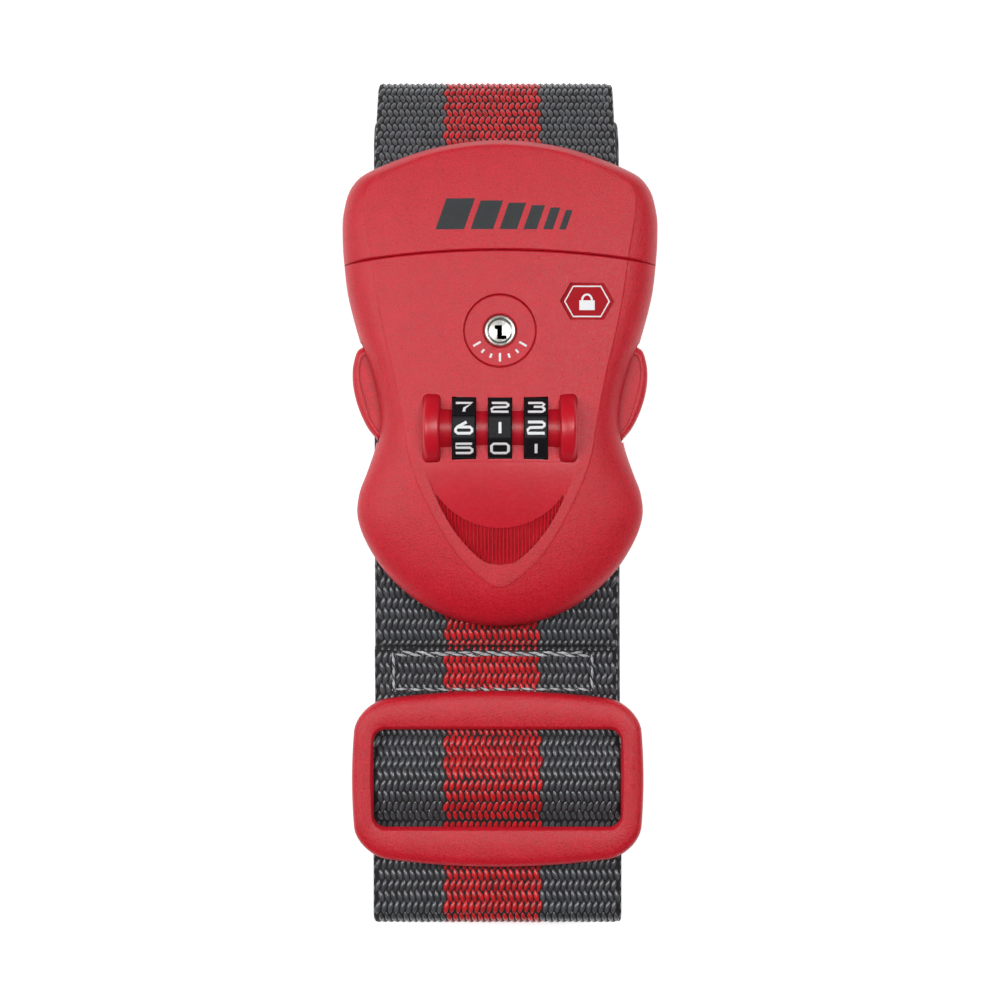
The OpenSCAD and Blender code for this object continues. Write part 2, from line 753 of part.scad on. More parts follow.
housing_front();
housing_back();
housing_screws();
web_bar();
dial_left();
dial_middle();
dial_right();
dial_sleeve_left();
dial_sleeve_middle();
dial_sleeve_right();
dial_cradle();
dial_spindle();
spindle_spring();
detent_spring();
lock_plate();
lock_plate_spring();
key_barrel();
key_plug();
key_wafers();
key_cam();
key_disc();
emblem_inlay();
reset_pin();
tongue_front();
tongue_back();
tongue_screws();
tongue_bar();
tongue_plate();
arm_pins();
release_arm_left();
release_arm_right();
arm_spring_left();
arm_spring_right();
slider_frame();
link_webbing();
strap_front();
strap_roll();
strap_nose();
hem_stitches();
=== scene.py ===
"""Looks of a rolled luggage strap with a combination buckle, built around its CAD frame.

Shapes are written in millimetres and scaled to metres when a mesh is made. X is across
the webbing, Y along it, Z up out of the buckle's face.
"""
import json
import math

import bmesh
import bpy
import numpy as np
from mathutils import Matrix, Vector


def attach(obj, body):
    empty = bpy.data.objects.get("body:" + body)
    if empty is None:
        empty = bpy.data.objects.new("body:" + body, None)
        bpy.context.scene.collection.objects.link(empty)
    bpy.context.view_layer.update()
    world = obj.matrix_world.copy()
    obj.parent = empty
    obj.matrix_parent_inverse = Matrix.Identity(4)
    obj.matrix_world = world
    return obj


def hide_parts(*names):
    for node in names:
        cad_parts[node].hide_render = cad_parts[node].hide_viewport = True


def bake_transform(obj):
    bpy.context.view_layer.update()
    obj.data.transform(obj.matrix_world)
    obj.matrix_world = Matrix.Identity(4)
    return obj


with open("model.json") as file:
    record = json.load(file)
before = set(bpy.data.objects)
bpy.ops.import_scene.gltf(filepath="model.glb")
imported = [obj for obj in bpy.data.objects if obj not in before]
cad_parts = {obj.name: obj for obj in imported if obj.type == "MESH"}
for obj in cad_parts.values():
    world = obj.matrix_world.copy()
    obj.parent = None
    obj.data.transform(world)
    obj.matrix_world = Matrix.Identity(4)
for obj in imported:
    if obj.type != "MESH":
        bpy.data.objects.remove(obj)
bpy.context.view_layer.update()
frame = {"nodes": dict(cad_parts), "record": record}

MM = 0.001
rng = np.random.default_rng(7)
scene = bpy.context.scene
scene.view_settings.view_transform = "Standard"

# ---------------------------------------------------------------- camera, light, world
CAMERA_HEIGHT = 0.420
FOCAL_PX = 1975
SENSOR = 36.0
camera_data = bpy.data.cameras.new("camera")
camera_data.sensor_width = SENSOR
camera_data.lens = SENSOR * FOCAL_PX / 1000
camera_data.clip_start = 0.01
camera = bpy.data.objects.new("camera", camera_data)
camera.location = (0, 0, CAMERA_HEIGHT)
scene.collection.objects.link(camera)
scene.camera = camera


def area_light(name, place, target, size, power):
    data = bpy.data.lights.new(name, "AREA")
    data.shape = "RECTANGLE"
    data.size, data.size_y = size
    data.energy = power
    light = bpy.data.objects.new(name, data)
    light.location = place
    light.rotation_euler = (Vector(target) - Vector(place)).to_track_quat("-Z", "Y").to_euler()
    scene.collection.objects.link(light)


area_light("key", (-0.42, 0.06, 0.54), (0, 0.01, 0.02), (0.16, 0.60), 2.6)
area_light("side", (0.32, 0.12, 0.74), (0, 0, 0.02), (0.14, 0.40), 2.6)
area_light("top", (0.02, 0.12, 0.95), (0, 0, 0.02), (0.20, 0.20), 1.2)
world = bpy.data.worlds.new("world")
world.use_nodes = True
world.node_tree.nodes["Background"].inputs[0].default_value = (1, 1, 1, 1)
world.node_tree.nodes["Background"].inputs[1].default_value = 0.02
scene.world = world


# ---------------------------------------------------------------- materials
def new_material(name, colour, roughness, **sockets):
    m = bpy.data.materials.new(name)
    m.use_nodes = True
    shader = m.node_tree.nodes["Principled BSDF"]
    shader.inputs["Base Color"].default_value = (*colour, 1)
    shader.inputs["Roughness"].default_value = roughness
    for key, value in sockets.items():
        shader.inputs[key.replace("_", " ")].default_value = value
    return m, m.node_tree.nodes, m.node_tree.links, shader


def noise_node(nodes, links, scale, detail=2.0, rough=0.5, stretch=None):
    """Noise over the object's own coordinates; scale is in features per metre."""
    where = nodes.new("ShaderNodeTexCoord")
    noise = nodes.new("ShaderNodeTexNoise")
    noise.inputs["Scale"].default_value = scale
    noise.inputs["Detail"].default_value = detail
    noise.inputs["Roughness"].default_value = rough
    source = where.outputs["Object"]
    if stretch:
        mapping = nodes.new("ShaderNodeMapping")
        mapping.inputs["Scale"].default_value = stretch
        links.new(source, mapping.inputs["Vector"])
        source = mapping.outputs["Vector"]
    links.new(source, noise.inputs["Vector"])
    return noise.outputs["Fac"]


def ramp(nodes, links, source, stops):
    """A colour ramp; each stop is a place and a grey or a colour."""
    node = nodes.new("ShaderNodeValToRGB")
    element = node.color_ramp.elements
    while len(element) < len(stops):
        element.new(0.5)
    for e, (place, value) in zip(element, stops):
        e.position = place
        e.color = (*value, 1) if hasattr(value, "__len__") else (value, value, value, 1)
    links.new(source, node.inputs["Fac"])
    return node.outputs["Color"]


def bump(nodes, links, shader, height, strength, distance):
    node = nodes.new("ShaderNodeBump")
    node.inputs["Strength"].default_value = strength
    node.inputs["Distance"].default_value = distance
    links.new(height, node.inputs["Height"])
    links.new(node.outputs["Normal"], shader.inputs["Normal"])
    return node


def moulded_plastic(name, colour, roughness, grain_scale, grain, spread=0.06, mottle=0.06,
                    depth=0.0002, speckle=0.3, specular=0.5):
    """Moulded plastic: fine spark-eroded grain, a little uneven in gloss and colour. speckle is
    the fine grain's share in the colour's unevenness, depth the grain's height in metres."""
    m, nodes, links, shader = new_material(name, colour, roughness)
    shader.inputs["Specular IOR Level"].default_value = specular
    fine = noise_node(nodes, links, grain_scale, 3, 0.75)
    blend = nodes.new("ShaderNodeMix")
    blend.inputs["Factor"].default_value = speckle
    links.new(noise_node(nodes, links, 260, 3), blend.inputs["A"])
    links.new(fine, blend.inputs["B"])
    dark = [c * (1 - mottle) for c in colour]
    light = [min(1, c * (1 + mottle)) for c in colour]
    links.new(ramp(nodes, links, blend.outputs["Result"], [(0.3, dark), (0.7, light)]),
              shader.inputs["Base Color"])
    links.new(ramp(nodes, links, fine, [(0.3, roughness - spread), (0.7, roughness + spread)]),
              shader.inputs["Roughness"])
    bump(nodes, links, shader, fine, grain, depth)
    return m


RED = (0.60, 0.008, 0.022)
red_matte = moulded_plastic("red_matte", RED, 0.42, 3000, 1.0, 0.18, 0.30, 0.00009, 0.85)
red_smooth = moulded_plastic("red_smooth", RED, 0.34, 1800, 0.12)
red_rough = moulded_plastic("red_rough", (0.61, 0.022, 0.035), 0.50, 2400, 1.0, 0.12, 0.30, 0.00012, 0.8)
red_deep = moulded_plastic("red_deep", (0.42, 0.004, 0.012), 0.6, 1800, 0.2, specular=0.15)
dial_black = moulded_plastic("dial_black", (0.008, 0.008, 0.010), 0.50, 1600, 0.10, specular=0.22)
ink_white = moulded_plastic("ink_white", (0.86, 0.87, 0.88), 0.40, 1900, 0.10, mottle=0.02)
ink_grey = moulded_plastic("ink_grey", (0.014, 0.019, 0.022), 0.55, 3000, 0.4, mottle=0.25)


def metal(name, colour, roughness, stretch=(1, 1, 1), scale=900, streak=0.25):
    m, nodes, links, shader = new_material(name, colour, roughness, Metallic=1.0)
    lines = noise_node(nodes, links, scale, 4, 0.6, stretch=stretch)
    links.new(ramp(nodes, links, lines, [(0.25, roughness * 0.7), (0.75, roughness * 1.4)]),
              shader.inputs["Roughness"])
    bump(nodes, links, shader, lines, streak, 0.0001)
    return m


steel = metal("steel", (0.60, 0.61, 0.63), 0.30, (1, 12, 12))
nickel = metal("nickel", (0.62, 0.61, 0.57), 0.34, (1, 1, 1), 1500, 0.3)
brass = metal("brass", (0.78, 0.58, 0.24), 0.30)

SLATE = (0.072, 0.076, 0.086)
STRIPE = (0.60, 0.016, 0.022)
WEB_W, WEB_T = 50.0, 1.5
ROW_PITCH, COLUMN_PITCH = 2.17, 1.25
WEB_X = -0.65
STRIPE_X = (WEB_X - 10.5, WEB_X + 8.8)


def yarn_material(name, colour, gloss=0.6):
    """Bulky polyester yarn: filaments run along it, with a soft sheen."""
    m, nodes, links, shader = new_material(name, colour, 0.32)
    shader.inputs["Specular IOR Level"].default_value = gloss
    shader.inputs["Sheen Weight"].default_value = 0.12
    shader.inputs["Sheen Roughness"].default_value = 0.4
    tone = noise_node(nodes, links, 420, 3)
    links.new(ramp(nodes, links, tone, [(0.3, [c * 0.72 for c in colour]),
                                        (0.7, [min(1, c * 1.30) for c in colour])]),
              shader.inputs["Base Color"])
    hair = noise_node(nodes, links, 3000, 3, 0.7, stretch=(1, 0.16, 0.3))
    bump(nodes, links, shader, hair, 0.5, 0.00012)
    return m


yarn_slate = yarn_material("yarn_slate", SLATE, 1.0)
yarn_red = yarn_material("yarn_red", STRIPE)
thread = yarn_material("thread", (0.50, 0.51, 0.53))
thread_dark = yarn_material("thread_dark", (0.03, 0.033, 0.038))


def woven_material():
    """Webbing seen from its side or back: staggered floats as bump, with painted shade darkening the
    gaps between them, and the centre stripe.
    """
    m, nodes, links, shader = new_material("webbing", SLATE, 0.62)
    shader.inputs["Sheen Weight"].default_value = 0.2
    where = nodes.new("ShaderNodeTexCoord")
    parts = nodes.new("ShaderNodeSeparateXYZ")
    links.new(where.outputs["Object"], parts.inputs[0])

    def math_node(kind, a, b=None, c=None):
        node = nodes.new("ShaderNodeMath")
        node.operation = kind
        for i, v in enumerate((a, b, c)):
            if v is None:
                continue
            if isinstance(v, (int, float)):
                node.inputs[i].default_value = v
            else:
                links.new(v, node.inputs[i])
        return node.outputs[0]

    uv = nodes.new("ShaderNodeUVMap")
    uv.uv_map = "UVMap"
    across = nodes.new("ShaderNodeSeparateXYZ")
    links.new(uv.outputs["UV"], across.inputs[0])
    # UV is in millimetres: U across the webbing, V along it
    rows = math_node("DIVIDE", across.outputs[1], ROW_PITCH)
    columns = math_node("DIVIDE", across.outputs[0], COLUMN_PITCH)
    wave_rows = math_node("COSINE", math_node("MULTIPLY", rows, math.pi))
    wave_columns = math_node("COSINE", math_node("MULTIPLY", columns, 2 * math.pi))
    weave = math_node("MULTIPLY", wave_rows, wave_columns)
    above = math_node("GREATER_THAN", parts.outputs[0], STRIPE_X[0] * MM)
    below = math_node("LESS_THAN", parts.outputs[0], STRIPE_X[1] * MM)
    tone = noise_node(nodes, links, 500, 3)
    colour = nodes.new("ShaderNodeMix")
    colour.data_type = "RGBA"
    links.new(math_node("MULTIPLY", above, below), colour.inputs["Factor"])
    links.new(ramp(nodes, links, tone, [(0.3, [c * 0.7 for c in SLATE]),
                                        (0.7, [c * 1.25 for c in SLATE])]), colour.inputs["A"])
    links.new(ramp(nodes, links, tone, [(0.3, [c * 0.7 for c in STRIPE]),
                                        (0.7, [c * 1.2 for c in STRIPE])]), colour.inputs["B"])
    # Painted shade: the colour is multiplied down to 0.12 in the low gaps of the weave pattern, where
    # the floats would shade each other.
    gap_shade = nodes.new("ShaderNodeMix")
    gap_shade.data_type = "RGBA"
    gap_shade.blend_type = "MULTIPLY"
    gap_shade.inputs["Factor"].default_value = 1.0
    links.new(colour.outputs["Result"], gap_shade.inputs["A"])
    share = math_node("MULTIPLY_ADD", weave, 0.5, 0.5)
    links.new(ramp(nodes, links, share, [(0.25, 0.12), (0.8, 1.0)]), gap_shade.inputs["B"])
    links.new(gap_shade.outputs["Result"], shader.inputs["Base Color"])
    hair = noise_node(nodes, links, 2200, 3, 0.7)
    links.new(ramp(nodes, links, hair, [(0.3, 0.5), (0.7, 0.75)]), shader.inputs["Roughness"])
    height = math_node("ADD", math_node("MULTIPLY", weave, 0.5), math_node("MULTIPLY", hair, 0.35))
    bump(nodes, links, shader, height, 0.9, 0.0004)
    return m


webbing = woven_material()
# Painted shade: a near-black finish for the strip under the yarn floats, seen only in the gaps between
# them.
webbing_painted_shade = moulded_plastic("webbing_painted_shade", (0.010, 0.008, 0.009), 0.8, 2400, 0.6)


# ---------------------------------------------------------------- mesh helpers
def add_mesh(name, verts, faces, materials, smooth=None, face_material=None):
    """A mesh object from millimetre points. smooth is the angle, in degrees, kept sharp."""
    mesh = bpy.data.meshes.new(name)
    mesh.from_pydata([(x * MM, y * MM, z * MM) for x, y, z in verts], [], faces)
    mesh.validate()
    obj = bpy.data.objects.new(name, mesh)
    scene.collection.objects.link(obj)
    for m in materials:
        mesh.materials.append(m)
    if face_material is not None:
        mesh.polygons.foreach_set("material_index", face_material)
    if smooth is not None:
        shade(obj, smooth)
    return obj


def shade(obj, angle):
    """Smooth shading that keeps edges sharper than angle, in degrees, crisp."""
    obj.data.shade_smooth()
    obj.data.set_sharp_from_angle(angle=math.radians(angle))


class Parts:
    """Collects pieces of mesh that end up in one object."""

    def __init__(self):
        self.verts, self.faces, self.slots = [], [], []

    def add(self, verts, faces, slot=0):
        base = len(self.verts)
        self.verts.extend(tuple(v) for v in verts)
        self.faces.extend(tuple(i + base for i in f) for f in faces)
        self.slots.extend([slot] * len(faces))

    def build(self, name, materials, smooth=None):
        return add_mesh(name, self.verts, self.faces, materials, smooth, self.slots)


def loft(rings, wrap=False):
    """Verts and faces of a closed skin over rings that all have the same number of points.
    With wrap, the last ring joins the first; without it, the end rings are faces."""
    n = len(rings[0])
    m = len(rings)
    verts = [tuple(p) for ring in rings for p in ring]
    faces = []
    for j in range(m if wrap else m - 1):
        a, b = j * n, ((j + 1) % m) * n
        faces += [(a + i, a + (i + 1) % n, b + (i + 1) % n, b + i) for i in range(n)]
    if not wrap:
        faces.append(tuple(range(n - 1, -1, -1)))
        faces.append(tuple(range((m - 1) * n, m * n)))
    return verts, faces


def prism(points, z0, z1):
    return loft([[(x, y, z0) for x, y in points], [(x, y, z1) for x, y in points]])


def revolve_x(profile, x0, y0, z0, n):
    """A solid turned about an axis along X. profile is (distance along X, radius) pairs."""
    rings = [[(x0 + u, y0 + r * math.sin(2 * math.pi * i / n), z0 + r * math.cos(2 * math.pi * i / n))
              for i in range(n)] for u, r in profile]
    return loft(rings)


def cylinder_x(r, x0, x1, y, z, n=64):
    return revolve_x([(0, r), (x1 - x0, r)], x0, y, z, n)


def revolve_z(profile, cx, cy, n):
    """A solid turned about an axis along Z. profile is (radius, height) pairs."""
    return loft([[(cx + r * math.cos(2 * math.pi * i / n), cy + r * math.sin(2 * math.pi * i / n), z)
                  for i in range(n)] for r, z in profile])


def arc(cx, cy, r, a0, a1, n=10):
    """n points on an arc from a0 to a1 degrees."""
    return [(cx + r * math.cos(math.radians(a)), cy + r * math.sin(math.radians(a)))
            for a in np.linspace(a0, a1, n)]


def block(x0, x1, y0, y1, z0, z1):
    return prism([(x0, y0), (x1, y0), (x1, y1), (x0, y1)], z0, z1)


def outward(obj):
    """Turn the faces of a closed mesh outwards."""
    b = bmesh.new()
    b.from_mesh(obj.data)
    bmesh.ops.recalc_face_normals(b, faces=b.faces)
    b.to_mesh(obj.data)
    b.free()
    return obj


def cut(obj, *shapes):
    """Cut each shape (verts, faces) out of obj."""
    for k, (verts, faces) in enumerate(shapes):
        tool = outward(add_mesh("cutter", verts, faces, []))
        mod = obj.modifiers.new("cut", "BOOLEAN")
        mod.operation = "DIFFERENCE"
        mod.solver = "MANIFOLD"
        mod.object = tool
        deps = bpy.context.evaluated_depsgraph_get()
        result = bpy.data.meshes.new_from_object(obj.evaluated_get(deps))
        obj.modifiers.remove(mod)
        if len(result.polygons) < 8:
            raise RuntimeError(f"cut {k} emptied {obj.name}")
        obj.data = result
        bpy.data.objects.remove(tool)
    return obj


def spline(points, steps):
    """Points on a smooth open curve through points."""
    p = [np.array(q, float) for q in points]
    p = [2 * p[0] - p[1]] + p + [2 * p[-1] - p[-2]]
    out = []
    for i in range(1, len(p) - 2):
        for s in range(steps):
            out.append(spline_point(p[i - 1], p[i], p[i + 1], p[i + 2], s / steps))
    out.append(p[-2])
    return out


def spline_point(p0, p1, p2, p3, t):
    return 0.5 * (2 * p1 + (p2 - p0) * t + (2 * p0 - 5 * p1 + 4 * p2 - p3) * t * t
                  + (3 * p1 - p0 - 3 * p2 + p3) * t ** 3)


def tube(points, width, height, closed=False, sides=8, up=None):
    """A flattened tube along 3-D points: width across, height along up."""
    p = np.array(points, float)
    n = len(p)
    up = np.array([0, 0, 1.0]) if up is None else np.array(up, float)
    rings = []
    for i in range(n):
        before = p[(i - 1) % n] if closed or i > 0 else p[0]
        after = p[(i + 1) % n] if closed or i < n - 1 else p[-1]
        along = after - before
        along = along / (np.linalg.norm(along) or 1)
        side = np.cross(along, up)
        side /= np.linalg.norm(side) or 1
        rings.append([p[i] + side * width / 2 * math.cos(2 * math.pi * k / sides)
                      + up * height / 2 * math.sin(2 * math.pi * k / sides) for k in range(sides)])
    return loft(rings, wrap=closed)


# ---------------------------------------------------------------- the buckle's outline
RIM = [(0, 71.3), (13, 69.8), (25, 65.6), (29.4, 62.2), (31.1, 57), (31.3, 52), (30.95, 46.5),
       (30.1, 40), (28, 32), (25.7, 25.2), (24.4, 20), (24, 15.5), (24.75, 10.5), (26.4, 5.6),
       (28, 1.2), (28.3, -3.5), (26.4, -8.8), (22.3, -14.9), (16, -20.4), (8.4, -23.9),
       (0, -25.1)]
PANEL = [(0, 69.4), (12.6, 67.9), (23.5, 63.6), (26.2, 61), (26.7, 57), (25.9, 52), (25, 46.5),
         (24.1, 40), (22.6, 32.5), (20.9, 25.5), (19.7, 19.5), (18.7, 13.8), (17.9, 9),
         (16.3, 4), (14.4, -0.3), (12.2, -4.6), (10, -8.3), (7.4, -11.8), (4.8, -14.3),
         (2.4, -16.2), (0, -17.1)]
SPLIT_Z, BACK_Z, CROWN_Z = 26.0, 17.0, 35.4
FLOOR_Z = BACK_Z + 1.8
SEAM_R, SEAM_Y = 201.0, 48.8
FAN_Y = 25.0
OUTLINE_STEPS = 10


def closed_outline(half):
    """The whole outline, from the points of its right half."""
    right = [np.array(p, float) for p in half]
    knots = [right[1] * (-1, 1)] + right + [right[-2] * (-1, 1)]
    side = []
    for i in range(1, len(knots) - 2):
        side += [spline_point(*knots[i - 1:i + 3], s / OUTLINE_STEPS) for s in range(OUTLINE_STEPS)]
    side.append(right[-1])
    return side + [p * (-1, 1) for p in side[-2:0:-1]]


rim = closed_outline(RIM)
panel = closed_outline(PANEL)


def crown(x, y):
    """Height of the face, which falls away gently to its sides and ends."""
    return CROWN_Z - x * x / 320 - max(0, 10 - y) ** 2 / 360 - max(0, y - 40) ** 2 / 500


def seam(x):
    """Where the seam between housing and tongue crosses x."""
    return SEAM_Y - SEAM_R + math.sqrt(SEAM_R ** 2 - x * x)


def between(k):
    """The outline a share k of the way from the rim to the panel."""
    return [a + (b - a) * k for a, b in zip(rim, panel)]


SHOULDER_ANGLE = math.radians(66)
RIM_WALL = 1.2
STEP = 0.16


def shoulder_ring(s):
    """A ring on the rounded shoulder, from the rim at s = 0 to the panel at 1."""
    k = (1 - math.cos(s * SHOULDER_ANGLE)) / (1 - math.cos(SHOULDER_ANGLE))
    h = math.sin(s * SHOULDER_ANGLE) / math.sin(SHOULDER_ANGLE)
    low = SPLIT_Z + RIM_WALL
    ring = []
    for a, b in zip(rim, panel):
        gap = np.linalg.norm(b - a)
        reach = 1 - 0.15 / gap
        p = a + (b - a) * k * reach
        ring.append((p[0], p[1], low + (crown(*b) - STEP - low) * h))
    return ring


def panel_ring(k, drop=0.0):
    """A ring on the face, a share k of the way from the panel's edge to its middle."""
    ring = []
    for b in panel:
        p = b + (np.array([0, FAN_Y]) - b) * k
        ring.append((p[0], p[1], crown(*p) - drop))
    return ring


def flat_ring(k, z):
    return [(p[0], p[1], z) for p in between(k)]


def front_block(name):
    rings = [flat_ring(0.012, SPLIT_Z), flat_ring(0, SPLIT_Z + 0.15)]
    rings += [shoulder_ring(s) for s in np.linspace(0, 1, 26)]
    rings += [panel_ring(0.0, 0.05), panel_ring(0.008)]
    rings += [panel_ring(k) for k in np.linspace(0.02, 0.985, 44)]
    return outward(add_mesh(name, *loft(rings), [red_matte, red_smooth, red_rough]))


def back_block(name):
    rings = []
    for a in np.linspace(0, math.pi / 2, 10):
        rings.append(flat_ring(0.3 * (1 - math.sin(a)), BACK_Z + 2.6 * (1 - math.cos(a))))
    rings += [flat_ring(0, z) for z in (21, 23.5, SPLIT_Z - 0.15)] + [flat_ring(0.012, SPLIT_Z - 0.02)]
    return outward(add_mesh(name, *loft(rings), [red_matte, red_smooth, red_rough]))


SEAM_GAP = 0.08
SEAM_CHAMFER = 0.3
SEAM_XS = np.linspace(-34, 34, 137)
FAR, HIGH = 150, 60


def seam_cutter(side):
    """Everything past the seam on one side (1 towards the tongue), with a chamfered lip."""
    rings = []
    for x in SEAM_XS:
        y = seam(x) - side * SEAM_GAP
        lip = y - side * SEAM_CHAMFER
        top = surface_height(x, y)
        rings.append([(x, y, 0), (x, y, top - SEAM_CHAMFER), (x, lip, top + 0.03), (x, lip, HIGH),
                      (x, side * FAR, HIGH), (x, side * FAR, 0)])
    return loft(rings)


def plain_seam_cutter(side):
    """Everything past the seam on one side, square-edged."""
    rings = []
    for x in SEAM_XS:
        y = seam(x) - side * SEAM_GAP
        rings.append([(x, y, 0), (x, y, HIGH), (x, side * FAR, HIGH), (x, side * FAR, 0)])
    return loft(rings)


def surface_height(x, y):
    """Height of the outer surface near the seam, from the outlines' half widths there."""
    edge = 24.75
    rim_edge = 31.1
    if abs(x) <= edge:
        return crown(x, y)
    k = min(1.0, (rim_edge - abs(x)) / (rim_edge - edge)) if abs(x) < rim_edge else 0.0
    c = 1 - k * (1 - math.cos(SHOULDER_ANGLE))
    h = math.sin(math.acos(c)) / math.sin(SHOULDER_ANGLE)
    low = SPLIT_Z + RIM_WALL
    return low + (crown(edge, y) - STEP - low) * h


WALL = 0.42
CAVITY_STEP_Z, CAVITY_TOP_Z, HOLLOW_Z = 29.7, 31.4, 30
SCREW_HEAD_R, SCREW_HEAD_Z = 2.2, BACK_Z + 1.7
DIAL_Y, DIAL_Z, DIAL_R, DIAL_W, DIAL_PITCH = 14.0, 31.25, 7.15, 4.64, 7.0
DIAL_SIDE_GAP = 0.07
FLANGE_R, FLANGE_X0, FLANGE_X1, BAR_R = 7.5, 11.7, 15.0, 5.2
KEY_Y, PLUG_R, DISC_R = 33.0, 3.15, 6.95
WEB_ROOM = 26.4
WINDOW = (11.4, 31.2, 22.4, 29.6)
EMBLEM = (17.0, 38.8)


def flange(room):
    """A round-shouldered end of the dial carriage, or with room to spare, its seat."""
    w = FLANGE_X1 - FLANGE_X0
    r, bore = 1.0, 1.5
    profile = [(-room, bore), (-room, FLANGE_R - 0.5), (0.18 - room, FLANGE_R - 0.2 + room),
               (0.5, FLANGE_R + room)]
    profile += [(w - r + (r + room) * math.sin(a), FLANGE_R - r + (r + room) * math.cos(a))
                for a in np.linspace(0, math.pi / 2, 9)]
    profile += [(w + room, bore)]
    return revolve_x(profile, FLANGE_X0, DIAL_Y, DIAL_Z, 128)


def both_sides(shape):
    """The shape, and the same shape mirrored in X."""
    verts, faces = shape
    return [(verts, faces), ([(-x, y, z) for x, y, z in verts], [f[::-1] for f in faces])]


def windows():
    """The openings in the housing's sides where the ears come out."""
    return both_sides(block(19, 40, *WINDOW))


SCOOP_EDGE = [(15.4, 8.2), (15.0, 7.0), (12.9, 1.2), (9.8, -4.8), (6.5, -9.1), (3.2, -12.0),
              (0.6, -12.68)]
SCOOP_DEPTH = 1.05
CRESCENT_DEPTH = 0.80
CRESCENT_R, CRESCENT_Y = 14.9, 9.4


def scoop_depth(y):
    """How far the scoop below the dials sinks under the face."""
    t = min(1.0, max(-0.1, (7.6 - y) / 13.5))
    return SCOOP_DEPTH * t * abs(t) ** 0.35 if t > 0 else -0.06


def scoop_half_width(y):
    edge = spline(SCOOP_EDGE, 12)
    for a, b in zip(edge, edge[1:]):
        if b[1] <= y <= a[1]:
            return a[0] + (b[0] - a[0]) * (a[1] - y) / (a[1] - b[1] + 1e-9)
    return edge[-1][0]


def scoop():
    """What the scoop takes out of the face."""
    rings = []
    for y in np.linspace(7.9, -12.66, 60):
        w = scoop_half_width(y)
        xs = np.linspace(-w, w, 33)
        low = [(x, y, crown(x, y) - scoop_depth(y)) for x in xs]
        rings.append(low + [(w, y, 40), (-w, y, 40)])
    return loft(rings)


def crescent_top(x):
    return CRESCENT_Y - math.sqrt(CRESCENT_R ** 2 - x * x)


def crescent_bottom(x):
    edge = spline(SCOOP_EDGE, 12)
    for a, b in zip(edge, edge[1:]):
        if b[0] <= abs(x) <= a[0]:
            return a[1] + (b[1] - a[1]) * (a[0] - abs(x)) / (a[0] - b[0] + 1e-9)
    return edge[-1][1]


CRESCENT_X = 12.35


def crescent():
    """What the crescent-shaped recess takes out of the scoop's lower end."""
    rings = []
    for x in np.linspace(-CRESCENT_X, CRESCENT_X, 90):
        y0, y1 = crescent_bottom(x) + 0.02, crescent_top(x)
        y1 = max(y1, y0 + 0.05)
        low = [crown(x, y) - scoop_depth(y) - CRESCENT_DEPTH for y in (y0, y1)]
        rings.append([(x, y0, low[0]), (x, y1, low[1]), (x, y1, 40), (x, y0, 40)])
    return loft(rings)


RIB_PITCH, RIB_W, RIB_H, RIB_SINK = 0.73, 0.54, 1.026, 0.68


def crescent_ribs():
    """Raised ribs that run down the crescent-shaped recess."""
    ribs = Parts()
    count = int(CRESCENT_X / RIB_PITCH)
    for k in range(-count, count + 1):
        x = k * RIB_PITCH
        y0, y1 = crescent_bottom(x) - 0.15, crescent_top(x) + 0.25
        if y1 - y0 < 0.7:
            continue
        ys = np.linspace(y0, y1, 9)
        line = [(x, y, crown(x, y) - scoop_depth(y) - RIB_SINK) for y in ys]
        ribs.add(*tube(line, RIB_W, RIB_H, sides=12), 1)
    return ribs


def finish_scoop(shell):
    """The scoop and the crescent are polished, where the band below them is coarsely grained."""
    for face in shell.data.polygons:
        x, y, z = (c / MM for c in face.center)
        if -12.7 < y < 7.9 and abs(x) < scoop_half_width(y) and z > 28:
            face.material_index = 1
        elif -20 < y < 7 and abs(z - crown(x, y)) < 0.045:
            face.material_index = 2


def hollow_front(name, side):
    """A front shell: the one of the tongue (side -1) or of the housing (side 1)."""
    shell = front_block(name)
    return cut(shell, seam_cutter(side), prism(between(WALL), SPLIT_Z - 1, CAVITY_STEP_Z),
               prism(between(1), SPLIT_Z, CAVITY_TOP_Z))


def hollow_back(name, side, web_y, screws):
    """A back shell, open where the webbing enters, with a hole for each screw."""
    shell = back_block(name)
    cut(shell, plain_seam_cutter(side), prism(between(WALL), FLOOR_Z, HOLLOW_Z))
    if side > 0:
        cut(shell, *windows())
    cut(shell, block(-WEB_ROOM, WEB_ROOM, *web_y, FLOOR_Z, 40))
    for x, y in screws:
        cut(shell, revolve_z([(SCREW_HEAD_R, 10), (SCREW_HEAD_R, SCREW_HEAD_Z)], x, y, 40))
    return shell


def build_housing_front():
    shell = hollow_front("buckle_housing_front", 1)
    for i in (-1, 0, 1):
        x = i * DIAL_PITCH
        half = DIAL_W / 2 + DIAL_SIDE_GAP
        cut(shell, cylinder_x(DIAL_R + 0.12, x - half, x + half, DIAL_Y, DIAL_Z, 96))
    cut(shell, *both_sides(flange(0.09)))
    cut(shell, cylinder_x(BAR_R + 0.1, -FLANGE_X0, FLANGE_X0, DIAL_Y, DIAL_Z, 96))
    cut(shell, *windows())
    cut(shell, block(-WEB_ROOM, WEB_ROOM, -40, 0.2, 18, SPLIT_Z + 1.1))
    cut(shell, scoop())
    cut(shell, crescent())
    cut(shell, revolve_z([(DISC_R + 0.12, CROWN_Z - 1.1), (DISC_R + 0.12, CROWN_Z - 0.35),
                          (DISC_R + 0.4, CROWN_Z + 0.1), (DISC_R + 0.4, 40)], 0, KEY_Y, 128))
    cut(shell, prism(hexagon(5.35, 3.6), 33.95, 40))
    finish_scoop(shell)
    shade(shell, 15)
    join(shell, crescent_ribs().build("ribs", [red_matte, red_smooth], 50))
    return shell


